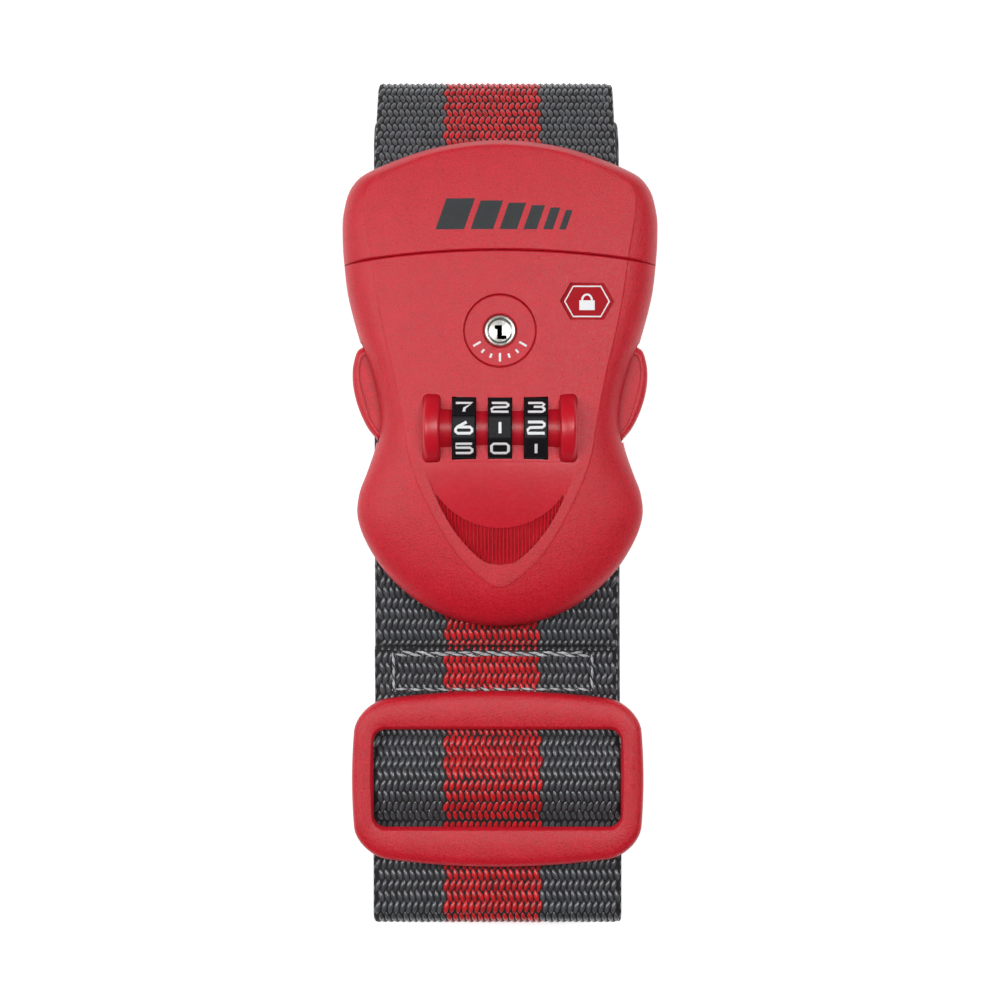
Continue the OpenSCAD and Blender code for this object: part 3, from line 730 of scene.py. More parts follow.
def hexagon(w, h):
    """The emblem's outline with half width w and half height h."""
    cx, cy = EMBLEM
    return [(cx + x, cy + y) for x, y in ((-w, 0), (-w * 0.62, -h), (w * 0.62, -h), (w, 0),
                                          (w * 0.62, h), (-w * 0.62, h))]


def join(target, *others):
    """Merge other objects into target."""
    bpy.ops.object.select_all(action="DESELECT")
    for o in (target, *others):
        o.select_set(True)
    bpy.context.view_layer.objects.active = target
    bpy.ops.object.join()
    return target


def place(obj, body, slot, *nodes):
    """Let a piece ride on a body and stand for CAD nodes."""
    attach(obj, body)
    if nodes:
        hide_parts(*nodes)
    return obj


place(build_housing_front(), "housing", "shell_plastic", "housing_front")
HOUSING_SCREWS = ((13, 3), (-13, 3), (12, 43.4), (-12, 43.4))
TONGUE_SCREWS = ((10, 53), (-10, 53))
RESET_PIN, RESET_BORE_R = (-16, 20), 1.25
housing_back = hollow_back("buckle_housing_back", 1, (-40, 0.2), HOUSING_SCREWS)
cut(housing_back, revolve_z([(RESET_BORE_R, 10), (RESET_BORE_R, 30)], *RESET_PIN, 32))
shade(housing_back, 35)
place(housing_back, "housing", "shell_plastic", "housing_back")
tongue_front = hollow_front("buckle_tongue_front", -1)
shade(tongue_front, 15)
place(tongue_front, "tongue", "shell_plastic", "tongue_front")
tongue_back = hollow_back("buckle_tongue_back", -1, (56, 90), TONGUE_SCREWS)
shade(tongue_back, 35)
place(tongue_back, "tongue", "shell_plastic", "tongue_back")


# ---------------------------------------------------------------- cradle and dials
def build_cradle():
    """The dials' end flanges and the bar between them, with two thin rails below."""
    parts = Parts()
    for shape in both_sides(flange(0)):
        parts.add(*shape)
    room = DIAL_W / 2 + DIAL_SIDE_GAP
    for a, b in ((-FLANGE_X0 - 0.3, -DIAL_PITCH - room), (-DIAL_PITCH + room, -room)):
        for x0, x1 in ((a, b), (-b, -a)):
            parts.add(*cylinder_x(BAR_R, x0, x1, DIAL_Y, DIAL_Z, 96))
    for y in (DIAL_Y - 3, DIAL_Y + 2.85):
        parts.add(*block(-FLANGE_X0 - 0.5, FLANGE_X0 + 0.5, y, y + 0.15, 23.05, 23.7))
    return outward(parts.build("dial_carriage", [red_smooth], 40))


place(build_cradle(), "housing", "shell_plastic", "dial_cradle")

# Numerals as strokes in a box 3 wide and 2 high, wide and squared off
GLYPHS = {
    0: [[(-1.1, -1), (1.1, -1), (1.5, -0.6), (1.5, 0.6), (1.1, 1), (-1.1, 1), (-1.5, 0.6),
         (-1.5, -0.6), "close"]],
    1: [[(0, -1), (0, 1)]],
    2: [[(-1.45, 1), (1.1, 1), (1.45, 0.65), (1.45, 0.35), (1.1, 0.05), (-1.1, 0.0),
         (-1.45, -0.35), (-1.45, -1), (1.5, -1)]],
    3: [[(-1.4, 1), (1.1, 1), (1.45, 0.7), (1.1, 0.1), (-0.4, 0.1)],
        [(1.1, 0.1), (1.45, -0.3), (1.45, -0.7), (1.1, -1), (-1.45, -1)]],
    4: [[(0.7, -1), (0.7, 1), (-1.45, -0.3), (1.5, -0.3)]],
    5: [[(1.45, 1), (-1.4, 1), (-1.4, 0.15), (1.1, 0.15), (1.45, -0.2), (1.45, -0.65),
         (1.1, -1), (-1.45, -1)]],
    6: [[(0.5, 1), (-1.1, 0.15), (-1.45, -0.3), (-1.45, -0.65), (-1.1, -1), (1.1, -1),
         (1.45, -0.65), (1.45, -0.25), (1.1, 0.1), (-1.0, 0.1)]],
    7: [[(-1.45, 1), (1.5, 1), (0.1, -0.2), (0.0, -1)]],
    8: [[(-1.1, 0.05), (1.1, 0.05), (1.4, 0.4), (1.4, 0.7), (1.1, 1), (-1.1, 1), (-1.4, 0.7),
         (-1.4, 0.4), "close"],
        [(-1.1, 0.05), (-1.5, -0.35), (-1.5, -0.7), (-1.1, -1), (1.1, -1), (1.5, -0.7),
         (1.5, -0.35), (1.1, 0.05)]],
    9: [[(-0.5, -1), (1.1, -0.15), (1.45, 0.3), (1.45, 0.65), (1.1, 1), (-1.1, 1),
         (-1.45, 0.65), (-1.45, 0.25), (-1.1, -0.1), (1.0, -0.1)]],
}
FACETS = 10
APOTHEM = DIAL_R * math.cos(math.pi / FACETS)
STROKE = 0.56
GLYPH_SCALE = (1.10, 1.09)


def dial_profile():
    """One turn of the dial's outline: flat facets with a narrow groove between them."""
    points = []
    for f in range(FACETS):
        mid = 2 * math.pi * f / FACETS
        for deg in (-17.9, -16.6, -16.0, -12, -6, 0, 6, 12, 16.0, 16.6, 17.9):
            a = math.radians(deg)
            r = APOTHEM / math.cos(a)
            if abs(deg) > 17:
                r -= 0.34
            elif abs(deg) > 16.3:
                r -= 0.28
            points.append((mid + a, min(r, DIAL_R - 0.1)))
    return points


def build_dial(i, shown):
    """Dial i (-1, 0 or 1 from the left) that shows a number on top."""
    x0 = i * DIAL_PITCH - DIAL_W / 2
    outline = dial_profile()
    rings = []
    flank = ((0, 1.2), (0, 0.32), (0.1, 0.12), (0.3, 0))
    for u, inset in flank + tuple((DIAL_W - u, inset) for u, inset in flank[::-1]):
        rings.append([(x0 + u, DIAL_Y + (r - inset) * math.sin(a), DIAL_Z + (r - inset) * math.cos(a))
                      for a, r in outline])
    parts = Parts()
    parts.add(*loft(rings))
    for f in range(FACETS):
        digit = (shown + f) % 10
        a = 2 * math.pi * f / FACETS
        normal = np.array([0, math.sin(a), math.cos(a)])
        across = np.array([1.0, 0, 0])
        along = np.array([0, math.cos(a), -math.sin(a)])
        centre = np.array([i * DIAL_PITCH, DIAL_Y, DIAL_Z]) + normal * (APOTHEM + 0.01)
        for stroke in GLYPHS[digit]:
            closed = stroke[-1] == "close"
            pts = stroke[:-1] if closed else stroke
            line = [centre + across * x * GLYPH_SCALE[0] + along * y * GLYPH_SCALE[1] for x, y in pts]
            parts.add(*tube(line, STROKE, 0.10, closed, 8, normal), 1)
    return outward(parts.build(f"number_wheel_{i + 2}", [dial_black, ink_white], 30))


for i, name, shown in ((-1, "left", 6), (0, "middle", 1), (1, "right", 2)):
    place(build_dial(i, shown), f"dial_{name}_body", "dial_plastic", f"dial_{name}")


# ---------------------------------------------------------------- key cylinder and marks
def build_plug():
    parts = Parts()
    top = CROWN_Z - 0.35
    verts, faces = revolve_z([(PLUG_R, 24), (PLUG_R, top - 0.1), (PLUG_R - 0.30, top + 0.28),
                              (PLUG_R - 0.62, top + 0.34), (PLUG_R - 0.95, top - 0.18),
                              (PLUG_R - 1.05, top - 0.30), (1.0, top - 0.12), (0.2, top - 0.06)],
                             0, KEY_Y, 96)
    parts.add(verts, faces)
    plug = outward(parts.build("key_plug_face", [nickel], 30))
    keyway = ((-0.55, 0.42, -1.6, 1.1), (-0.55, 1.28, -1.6, -0.93), (-1.05, 0.42, 0.32, 1.1))
    for x0, x1, y0, y1 in keyway:
        cut(plug, block(x0, x1, KEY_Y + y0, KEY_Y + y1, 26, 40))
    shade(plug, 30)
    return plug


place(build_plug(), "key_body", "key_metal", "key_plug")


def build_key_disc():
    """Red inset disc with short white index strokes round its lower half."""
    z = CROWN_Z - 0.3
    parts = Parts()
    parts.add(*revolve_z([(DISC_R, CROWN_Z - 1.0), (DISC_R, z - 0.15), (DISC_R - 0.2, z),
                          (PLUG_R + 0.35, z), (PLUG_R + 0.12, z - 0.2), (PLUG_R + 0.12, CROWN_Z - 1.0)],
                         0, KEY_Y, 128))
    for k in range(7):
        a = math.radians(-150 + 20 * k)
        r0, r1 = (4.35, 6.0) if k % 3 == 0 else (4.75, 5.6)
        line = [(r * math.cos(a), KEY_Y + r * math.sin(a), z + 0.01) for r in (r0, (r0 + r1) / 2, r1)]
        parts.add(*tube(line, 0.42, 0.08), 1)
    return outward(parts.build("key_inset_disc", [red_matte, ink_white], 35))


place(build_key_disc(), "housing", "shell_plastic", "key_disc")


def build_emblem():
    """A sunk hexagon with a white border and a plain padlock sign."""
    parts = Parts()
    z = 34.15
    parts.add(*prism(hexagon(5.3, 3.55), 33.96, z))
    border = [(x, y, z + 0.02) for x, y in hexagon(4.35, 2.95)]
    parts.add(*tube(border, 0.30, 0.08, True), 1)
    cx, cy = EMBLEM
    parts.add(*block(cx - 1.5, cx + 1.5, cy - 1.7, cy + 0.2, z, z + 0.06), 1)
    shackle = [(cx + 0.95 * math.cos(a), cy + 0.2 + 1.15 * math.sin(a), z + 0.03)
               for a in np.linspace(0, math.pi, 13)]
    parts.add(*tube(shackle, 0.4, 0.07), 1)
    return outward(parts.build("emblem", [red_deep, ink_white], 35))


place(build_emblem(), "housing", "print_white", "emblem_inlay")


def build_print():
    """A generic printed mark on the tongue: slanted bars that shrink to the right."""
    parts = Parts()
    x = -12.6
    lean = 2.1
    for k, w in enumerate((5.6, 4.4, 3.4, 2.6, 1.9, 1.3)):
        low, high = 52.8, 58.9 - 0.45 * k
        drift = lean * (high - low) / 6
        cells = 6
        low_line = [(x + w * t, low) for t in np.linspace(0, 1, cells)]
        high_line = [(x + drift + w * t, high) for t in np.linspace(1, 0, cells)]
        outline = low_line + high_line
        rings = [[(px, py, crown(px, py) + dz) for px, py in outline] for dz in (-0.05, 0.035)]
        parts.add(*loft(rings))
        x += w + 1.25
    return outward(parts.build("printed_mark", [ink_grey], 35))


place(build_print(), "tongue", "dial_plastic")


# ---------------------------------------------------------------- release arms
EAR = [(24.2, 11.7), (26.4, 14.5), (28.1, 18.2), (29.1, 22), (29.3, 25.4), (28.9, 28.0),
       (28.2, 29.7), (26.9, 30.5)]
EAR_INNER_X = 21.6
EAR_MIDDLE = np.array([23.2, 21.5])
ARM_Z0, ARM_Z1 = 23.0, 29.0
EAR_RIM, PAD_Z = 1.65, 28.55
ARM_PIVOT, ARM_EYE_R = (22.5, 52), 2.6


def build_arm(sign):
    """A release arm with its ear: a thumb pad sunk behind a rounded rim."""
    outline = [np.array([EAR_INNER_X, 12.5])] + spline(EAR, 6) + [np.array([EAR_INNER_X, 30.5])]

    def inset(d, z):
        """The outline moved towards the ear's middle by d, at height z."""
        moved = [q + (EAR_MIDDLE - q) / np.linalg.norm(EAR_MIDDLE - q) * d for q in outline]
        return [(*q, z) for q in moved]

    low, high = 0.7, 1.4
    rings = []
    for a in np.linspace(0, math.pi / 2, 5):
        rings.append(inset(low * (1 - math.sin(a)), ARM_Z0 + low * (1 - math.cos(a))))
    for a in np.linspace(0, math.pi / 2, 8):
        rings.append(inset(high * (1 - math.cos(a)), ARM_Z1 - high + high * math.sin(a)))
    rings += [inset(EAR_RIM, ARM_Z1 - 0.06), inset(EAR_RIM + 0.05, PAD_Z - 0.3),
              inset(EAR_RIM + 0.05, ARM_Z0)]
    parts = Parts()
    parts.add(*loft(rings, wrap=True))
    parts.add(*loft([inset(EAR_RIM - 0.1, z) for z in (ARM_Z0 + 0.3, PAD_Z)]), 1)
    parts.add(*block(21.8, 24, 14, 31, ARM_Z0, PAD_Z - 0.2))
    parts.add(*block(21.8, 24, 31, 52, ARM_Z0, ARM_Z1))
    parts.add(*block(17.4, 22, 29.5, 32.5, ARM_Z0, PAD_Z - 0.2))
    parts.add(*revolve_z([(ARM_EYE_R, ARM_Z0), (ARM_EYE_R, ARM_Z1)], *ARM_PIVOT, 48))
    parts.verts = [(sign * x, y, z) for x, y, z in parts.verts]
    name = "right" if sign > 0 else "left"
    return outward(parts.build(f"release_ear_{name}", [red_matte, red_rough], 35))


for sign, side in ((1, "right"), (-1, "left")):
    place(build_arm(sign), f"arm_{side}_body", "shell_plastic", f"release_arm_{side}")


# ---------------------------------------------------------------- slider
SLIDER_X, SLIDER_MID_Y, SLIDER_HW, SLIDER_HH = -0.45, -55.6, 29.08, 17.5
SLIDER_BAR = (-56.0, 21.6, 1.9)
WINDOW_DX, WINDOW_HW, WINDOW_TOP, WINDOW_BOTTOM = -0.10, 24.6, -45.7, -65.0
SLIDER_Z0, SLIDER_Z1 = 24.4, 27.9


def rounded_rectangle(hw, hh, r, n, crown_y=0.0, crown_x=0.0):
    """n points evenly spread over a rectangle with round corners and crowned sides."""
    dense = []
    for sx, sy, a0 in ((1, 1, 0), (-1, 1, 90), (-1, -1, 180), (1, -1, 270)):
        dense += arc(sx * (hw - r), sy * (hh - r), r, a0, a0 + 90, 25)
    dense = np.array(dense + dense[:1])
    step = np.linalg.norm(np.diff(dense, axis=0), axis=1)
    at = np.concatenate([[0], np.cumsum(step)])
    want = np.linspace(0, at[-1], n, endpoint=False)
    xs = np.interp(want, at, dense[:, 0])
    ys = np.interp(want, at, dense[:, 1])
    return [(x * (1 - crown_x * (y / hh) ** 2), y * (1 - crown_y * (x / hw) ** 2))
            for x, y in zip(xs, ys)]


def match_by_angle(outer, inner_hw, inner_hh, r, inner_cy):
    """For each outer point, the window's edge point in the same direction from the middle."""
    dense = rounded_rectangle(inner_hw, inner_hh, r, 2400)
    angles = np.array([math.atan2(y / inner_hh, x / inner_hw) for x, y in dense])
    order = np.argsort(angles)
    angles, dense = angles[order], np.array(dense)[order]
    found = []
    for x, y in outer:
        a = math.atan2(y / SLIDER_HH, x / SLIDER_HW)
        k = np.argmin(np.abs(angles - a))
        found.append((dense[k][0] + WINDOW_DX, dense[k][1] + inner_cy))
    return found


def build_slider():
    """The slider's frame, its centre bar and the two cheeks that carry the bar."""
    outer = rounded_rectangle(SLIDER_HW, SLIDER_HH, 6.6, 320, crown_y=0.135, crown_x=0.035)
    inner_cy = (WINDOW_TOP + WINDOW_BOTTOM) / 2 - SLIDER_MID_Y
    inner = match_by_angle(outer, WINDOW_HW, (WINDOW_TOP - WINDOW_BOTTOM) / 2, 2.4, inner_cy)
    profile = section_profile()
    rings = []
    for k, z in profile:
        ring = []
        for a, b in zip(outer, inner):
            a, b = np.array(a), np.array(b)
            share = k[0] + k[1] / np.linalg.norm(b - a)
            p = a + (b - a) * share
            ring.append((p[0] + SLIDER_X, p[1] + SLIDER_MID_Y, z))
        rings.append(ring)
    parts = Parts()
    parts.add(*loft(rings, wrap=True))
    bar_y, bar_z, bar_r = SLIDER_BAR
    reach = SLIDER_HW - 1.5
    parts.add(*cylinder_x(bar_r, SLIDER_X - reach, SLIDER_X + reach, bar_y, bar_z, 48))
    for s in (-1, 1):
        x = SLIDER_X + s * (SLIDER_HW - 2)
        parts.add(*block(x - 1.3, x + 1.3, bar_y - 5, bar_y + 5, 19.7, 25.2))
    return outward(parts.build("slider", [red_matte, red_smooth], 40))


def quarter(r, a0, a1, n, x, z):
    """Points of a rounded edge as ((share, millimetres inwards), height) steps."""
    return [((x[0], x[1] + r * math.cos(math.radians(a))), z + r * math.sin(math.radians(a)))
            for a in np.linspace(a0, a1, n)]


def section_profile():
    """The rail's section from its outer edge over the top to the window and back: each entry
    is ((share of the rail's width, extra millimetres), height)."""
    z0, z1 = SLIDER_Z0, SLIDER_Z1
    out = quarter(1.5, 180, 112, 8, (0, 1.5), z1 - 1.75)
    out += [((0, 1.55), z1 - 0.16), ((0, 2.3), z1 - 0.03), ((0.5, 0), z1), ((1, -0.80), z1 - 0.02)]
    out += [((1, -0.66), z1 - 0.07), ((1, -0.12), z1 - 0.66), ((1, 0), z1 - 0.95)]
    out += [((1, -0.9), z1 - 0.98), ((1, -0.9), z0 + 0.4), ((1, -1.3), z0)]
    out += quarter(0.7, 270, 184, 6, (0, 0.7), z0 + 0.7)
    return out


place(build_slider(), "slider_body", "shell_plastic", "slider_frame")


# ---------------------------------------------------------------- webbing
class Path:
    """A path in the Y-Z plane with its corners rounded, read by distance along it."""

    def __init__(self, points):
        knots = np.array(points, float)
        rounded = [knots[0]]
        for a, b in zip(knots, knots[1:]):
            rounded += [a * 0.75 + b * 0.25, a * 0.25 + b * 0.75]
        self.p = np.array(rounded + [knots[-1]])
        step = np.linalg.norm(np.diff(self.p, axis=0), axis=1)
        keep = np.concatenate([[True], step > 1e-6])
        self.p = self.p[keep]
        self.s = np.concatenate([[0], np.cumsum(np.linalg.norm(np.diff(self.p, axis=0), axis=1))])
        self.length = self.s[-1]

    def at(self, s):
        return np.array([np.interp(s, self.s, self.p[:, 0]), np.interp(s, self.s, self.p[:, 1])])

    def frame(self, s):
        """Point, direction and normal at distance s, from a short chord either side of it."""
        reach = 0.35
        a, b = self.at(max(0, s - reach)), self.at(min(self.length, s + reach))
        t = (b - a) / (np.linalg.norm(b - a) or 1)
        return self.at(s), t, np.array([-t[1], t[0]])


STATION_TURN = 9.0


def stations(path, longest):
    """Distances along the path: where it has turned STATION_TURN degrees or run the longest."""
    out = [0.0]
    s, step = 0.0, 0.25
    last = path.frame(0)[1]
    while s < path.length - step:
        s += step
        t = path.frame(s)[1]
        angle = math.degrees(math.acos(max(-1, min(1, float(t @ last)))))
        if angle > STATION_TURN or s - out[-1] > longest:
            out.append(s)
            last = t
    out.append(path.length)
    return out


class Lie:
    """How a strip lies across X along its path: its middle and its width at each distance."""

    def __init__(self, stops):
        self.stops = np.array(stops, float)

    def at(self, s):
        return tuple(np.interp(s, self.stops[:, 0], self.stops[:, k]) for k in (1, 2))


def strip(name, path, lie, yarn_cover, sway=None, longest=9.0):
    """A closed band of webbing along a path, with rounded selvedges and UVs in millimetres.
    Where yarns are laid over it, from one distance to another, it takes a near-black finish: painted
    shade in the gaps between the yarns."""
    half = WEB_T / 2
    where = stations(path, longest)
    rings = []
    for s in where:
        p, t, n = path.frame(s)
        middle, width = lie.at(s)
        middle += sway(s) if sway else 0
        rings.append([(middle + u, p[0] + n[0] * v, p[1] + n[1] * v)
                      for u, v in band_section(width / 2, half)])
    verts, faces = loft(rings)
    obj = add_mesh(name, verts, faces, [webbing, webbing_painted_shade], 50)
    uv = obj.data.uv_layers.new(name="UVMap")
    section = band_section(WEB_W / 2, half)
    count = len(section)
    for loop in obj.data.loops:
        ring, k = divmod(loop.vertex_index, count)
        uv.data[loop.index].uv = (section[k][0] + WEB_W / 2, where[ring])
    # Faces under the yarn floats take the near-black painted-shade finish.
    for face in obj.data.polygons:
        s = np.mean([where[v // count] for v in face.vertices])
        if yarn_cover[0] <= s <= yarn_cover[1]:
            face.material_index = 1
    return obj


def band_section(edge, half):
    """The webbing's section, with eased selvedges."""
    return [(-edge, -half * 0.45), (-edge + 0.35, -half), (edge - 0.35, -half), (edge, -half * 0.45),
            (edge, half * 0.45), (edge - 0.35, half), (-edge + 0.35, half), (-edge, half * 0.45)]


def spindle(half_length, half_width, height):
    """A plump yarn float: pointed at both ends, in local (across, along, up) coordinates."""
    stages = (-0.86, -0.55, 0.0, 0.55, 0.86)
    sides, tip_z, belly = 8, -0.12, 0.25
    verts = [(0, -half_length, tip_z)]
    for t in stages:
        w = half_width * math.cos(t * math.pi / 2) ** 0.80
        h = height * math.cos(t * math.pi / 2) ** 0.75
        for k in range(sides):
            c, up = math.cos(2 * math.pi * k / sides), math.sin(2 * math.pi * k / sides)
            verts.append((w * c, t * half_length, (h if up > 0 else belly) * up))
    verts.append((0, half_length, tip_z))
    faces = [(0, 1 + (k + 1) % sides, 1 + k) for k in range(sides)]
    for j in range(len(stages) - 1):
        a, b = 1 + j * sides, 1 + (j + 1) * sides
        faces += [(a + k, a + (k + 1) % sides, b + (k + 1) % sides, b + k) for k in range(sides)]
    last = 1 + (len(stages) - 1) * sides
    end = len(verts) - 1
    faces += [(end, last + k, last + (k + 1) % sides) for k in range(sides)]
    return np.array(verts), faces


FLOAT_V, FLOAT_F = spindle(1.52, 0.60, 0.56)
FLOAT_SINK, FLOAT_LIFT, SELVEDGE = 0.25, 0.02, 0.60
LEAN, LEAN_SPREAD = 15, 3


def selvedge_turn(path, lie, s, edge):
    """Where the weft turns back at the webbing's edge: a yarn lying along the edge."""
    verts = []
    tilt = 0.3 * edge
    middle, width = lie.at(s)
    for a, b, h in FLOAT_V:
        p, t, n = path.frame(min(path.length, max(0, s + b * 0.9)))
        q = p + n * (a * 1.15 + b * tilt)
        verts.append((middle + edge * (width / 2 - 0.30 + h * 0.62), q[0], q[1]))
    return verts


def weave(name, path, lie, s0, s1, side):
    """The raised yarns of one face of the webbing, from s0 to s1 along its path."""
    parts = Parts()
    rows = int((s1 - s0) / ROW_PITCH)
    columns = int(WEB_W / COLUMN_PITCH)
    for row in range(rows + 1):
        s = s0 + (row + 0.5) * ROW_PITCH
        middle, width = lie.at(s)
        pitch = width / columns
        stagger = 0.5 * (row % 2)
        for c in range(columns):
            u = -width / 2 + (c + 0.25 + stagger) * pitch
            if abs(u) > width / 2 - SELVEDGE:
                continue
            lean = math.radians(rng.normal(LEAN if row % 2 else -LEAN, LEAN_SPREAD))
            scale = rng.normal(1, 0.05)
            up = FLOAT_LIFT + rng.normal(0, 0.02)
            x, y, z = FLOAT_V.T
            across = x * math.cos(lean) - y * math.sin(lean)
            along = (x * math.sin(lean) + y * math.cos(lean)) * scale
            verts = []
            for a, b, h in zip(across, along, z):
                p, t, n = path.frame(min(path.length, max(0, s + b)))
                q = p + n * side * (WEB_T / 2 - FLOAT_SINK + up + h * scale)
                verts.append((middle + u + a, q[0], q[1]))
            red_yarn = STRIPE_X[0] - WEB_X < u < STRIPE_X[1] - WEB_X
            parts.add(verts, FLOAT_F, 1 if red_yarn else 0)
        for edge in (-1, 1):
            parts.add(selvedge_turn(path, lie, s + 0.5 * stagger, edge), FLOAT_F)
    return outward(parts.build(name, [yarn_slate, yarn_red], 70))


# Levels of the layers, as in the CAD model
# Bars are (y, z, radius)
WEB_BAR = (-4.5, 22.4, 1.8)
TONGUE_BAR = (59.5, 22.3, 1.8)
LAYER = WEB_T + 0.1
LINK_R1 = WEB_BAR[2] + 0.1 + WEB_T / 2
LINK_R2 = SLIDER_BAR[2] + 0.1 + WEB_T / 2
LOOP_R = TONGUE_BAR[2] + 0.1 + WEB_T / 2
ROLL_HALF, ROLL_H, ROLL_TOP_Y = 86.8, 15.0, 71.0
TOP_Z = ROLL_H + WEB_T / 2 + 0.1
FOLD_R = 2.65
FOLD_Y = -85.6 + FOLD_R + WEB_T / 2


def hem_z(y):
    """Height of the hem's upper layer, which slopes up towards the housing."""
    return 22.9 + 2.3 * (y + 41) / 12


link_path = Path([(-31, 18.4), (-40, 17.95), (-48, 18.15)]
                 + arc(*SLIDER_BAR[:2], LINK_R2, 280, 70, 15)
                 + [(-50, 22.4), (-46.4, 19.8), (-44, 19.6), (-40, 19.7), (-34, 20.6), (-28, 22.1),
                    (-14, 24.6)]
                 + arc(*WEB_BAR[:2], LINK_R1, 96, -90, 15)
                 + [(-20, 19.75), (-26.5, 19.65), (-30, 18.62)])

hem_r = LAYER / 2
hem_end = -28.9 - WEB_T / 2 - hem_r
front_points = ([(-43.5, 22.85 - LAYER), (-41, 22.9 - LAYER), (-36, hem_z(-36) - LAYER)]
                + arc(hem_end, hem_z(-30.9) - hem_r - 0.1, hem_r, -80, 80, 7)
                + [(-36, hem_z(-36)), (-41, 22.9), (-44.5, 22.85), (-47, 23.1), (-51.5, 24.9)]
                + arc(*SLIDER_BAR[:2], LINK_R2 + LAYER, 75, 105, 5)
                + [(-60.5, 25.1), (-65, 22.6), (-70, TOP_Z + 2 * FOLD_R)]
                + arc(FOLD_Y, TOP_Z + FOLD_R, FOLD_R, 90, 270, 13))
BOTTOM_Y = -ROLL_HALF + ROLL_H / 2


def turn_top(z_from, z_to, centre_z, n=11):
    """Where the roll turns back at its +Y end."""
    r = abs(z_from - z_to) / 2
    return arc(ROLL_TOP_Y, centre_z, r, 90 if z_from > z_to else -90, -90 if z_from > z_to else 90, n)


def turn_bottom(z_from, z_to, n=11):
    """Where the roll turns back at its -Y end."""
    r = abs(z_from - z_to) / 2
    up = z_to > z_from
    return arc(BOTTOM_Y, ROLL_H / 2, r, 270 if up else 90, 90 if up else 270, n)


level = [0.75 + 1.5 * k for k in range(10)]
roll_points = ([(70, TOP_Z)] + turn_top(TOP_Z, level[1], (TOP_Z + level[1]) / 2)
               + turn_bottom(level[1], level[8]) + turn_top(level[8], level[3], 9.0)
               + turn_bottom(level[3], level[6]) + turn_top(level[6], level[5], 9.0, 7)
               + turn_bottom(level[5], level[4], 7)
               + turn_top(level[4], level[7], 9.0) + turn_bottom(level[7], level[2])
               + turn_top(level[2], level[9], 9.0) + turn_bottom(level[9], level[0])
               + [(-74, level[0])])
long_path = Path(front_points + roll_points)
NOSE_R1, NOSE_R2, NOSE_SLOPE = 6.0, 6.0, 50
nose_top = TONGUE_BAR[1] + LOOP_R
nose_points = ([(-73.7, level[0]), (60, level[0])]
               + arc(ROLL_HALF - WEB_T / 2 - NOSE_R2, WEB_T / 2 + NOSE_R2, NOSE_R2, -90, NOSE_SLOPE, 15)
               + arc(64.3, nose_top - NOSE_R1, NOSE_R1, NOSE_SLOPE, 86, 6)
               + arc(TONGUE_BAR[0], TONGUE_BAR[1], LOOP_R, 90, 270, 15)
               + [(67, TONGUE_BAR[1] - LOOP_R + 0.3)])
nose_path = Path(nose_points)


def sway(amount, seed):
    """A slow wander sideways along the strap, as in a roll made by hand."""
    phases = np.random.default_rng(seed).uniform(0, 6.28, 3)

    def offset(s):
        return amount * (math.sin(s / 61 + phases[0]) + 0.6 * math.sin(s / 143 + phases[1])) / 1.6
    return offset


def front_sway(s):
    """The roll's wander, which dies out towards the straight front strand."""
    return sway_roll(s) * min(1, max(0, (s - front_length) / 60))


front_length = Path(front_points).length
sway_roll = sway(0.25, 3)


def find_s(path, y, z_low, z_high):
    """Distance along the path where it passes y between two heights."""
    for s in np.arange(0, path.length, 0.25):
        p, q = path.at(s), path.at(s + 0.25)
        if (p[0] - y) * (q[0] - y) <= 0 and z_low <= p[1] <= z_high:
            return s
    raise RuntimeError(f"the path doesn't pass {y}")


def top_side(path, s):
    """1 when the path's normal at s points up, else -1."""
    return 1 if path.frame(s)[2][1] > 0 else -1


link_lie = Lie([(0, -0.66, 48.6)])
long_lie = Lie([(0, -0.75, 48.6), (25, -0.75, 48.6), (38, -0.5, 50), (front_length, -0.5, 50),
                (front_length + 60, WEB_X, 50)])
nose_lie = Lie([(0, -0.95, 48.5)])
front_yarns = (9, find_s(long_path, -70, 14, 17))
link_yarns = (find_s(link_path, -30, 21, 24), find_s(link_path, -9, 24, 26))
nose_rise = next(s for s in np.arange(0, nose_path.length, 0.25)
                 if nose_path.at(s)[0] > 74 and nose_path.at(s)[1] > 1.3)
nose_yarns = (nose_rise, find_s(nose_path, 66, 23, 27))
strap_long = strip("strap_long", long_path, long_lie, front_yarns, front_sway)
strap_link = strip("strap_link", link_path, link_lie, link_yarns)
strap_nose_piece = strip("strap_over_top", nose_path, nose_lie, nose_yarns, longest=5.0)
weave_front = weave("weave_front", long_path, long_lie, *front_yarns, top_side(long_path, 20))
weave_link = weave("weave_link", link_path, link_lie, *link_yarns, top_side(link_path, link_yarns[0]))
weave_nose = weave("weave_over_top", nose_path, nose_lie, *nose_yarns, -1)

for piece, node in ((strap_long, "strap_front"), (strap_link, "link_webbing")):
    place(piece, "housing", "webbing", node)
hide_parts("strap_roll", "strap_front")
for piece in (weave_front, weave_link):
    place(piece, "housing", "webbing")
for piece in (strap_nose_piece, weave_nose):
    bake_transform(piece)
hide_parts("strap_nose")


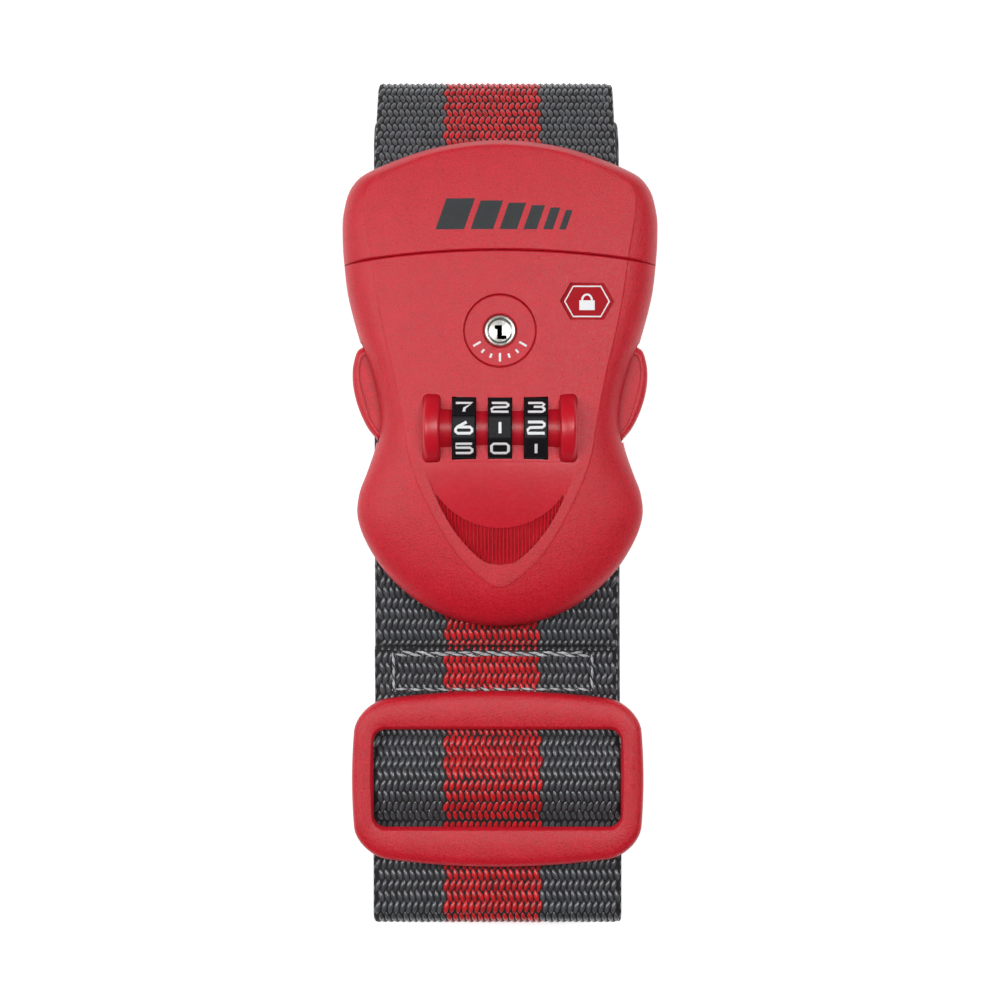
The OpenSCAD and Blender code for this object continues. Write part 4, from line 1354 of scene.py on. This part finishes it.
# ---------------------------------------------------------------- stitching
def build_stitches():
    """Box stitching through the hem: three twisted strands a stitch, doubled in its upper row."""
    parts = Parts()
    x0, x1, rows, pitch = -21.2, 18.2, (-30.9, -37.9), 2.8

    def stitch(x, y, across):
        tilt = rng.normal(0, 0.10)
        skew = rng.normal(0, 0.06)
        for phase, slot in ((0.0, 0), (2.1, 0), (4.2, 1)):
            pts = []
            for t in np.linspace(-1, 1, 11):
                along = 1.28 * t
                turn = phase + t * 3.4
                side = 0.15 * math.cos(turn) + tilt * along + skew
                lift = 0.34 + 0.26 * math.cos(t * math.pi / 2) ** 0.5 + 0.13 * math.sin(turn)
                px, py = (x + along, y + side) if across else (x + side, y + along)
                pts.append((px, py, hem_z(py) + WEB_T / 2 + lift))
            parts.add(*tube(pts, 0.29, 0.27, sides=8), slot)

    for start, y in ((1.4, rows[0]), (1.4, rows[1]), (2.8, rows[0] + 0.45)):
        for x in np.arange(x0 + start, x1 - 1, pitch):
            stitch(x, y, True)
    for x in (x0, x1 + 0.2):
        for k in (0.5, 1.5, 2.5):
            stitch(x, rows[0] - k * pitch * 0.86, False)
    return outward(parts.build("box_stitching", [thread, thread_dark], 60))


place(build_stitches(), "housing", "thread", "hem_stitches")


# ---------------------------------------------------------------- materials of the CAD pieces
finishes = {"steel": steel, "key_metal": nickel, "brass": brass, "dial_plastic": dial_black,
            "shell_plastic": red_matte}
slot_of = {s["node"]: s["material_slot"] for s in frame["record"]["subparts"]}
for node, obj in frame["nodes"].items():
    finish = finishes.get(slot_of[node])
    if finish:
        obj.data.materials.clear()
        obj.data.materials.append(finish)

# ---------------------------------------------------------------- floor
floor_material, nodes, links, shader = new_material("floor", (0.92, 0.92, 0.92), 0.8)
links.new(ramp(nodes, links, noise_node(nodes, links, 40, 4), [(0.3, 0.90), (0.7, 0.93)]),
          shader.inputs["Base Color"])
shader.inputs["Emission Color"].default_value = (1, 1, 1, 1)
shader.inputs["Emission Strength"].default_value = 0.60
FLOOR_REACH = 3000
corners = [(x * FLOOR_REACH, y * FLOOR_REACH, 0) for x, y in ((-1, -1), (1, -1), (1, 1), (-1, 1))]
floor = add_mesh("floor", corners, [(0, 1, 2, 3)], [floor_material])
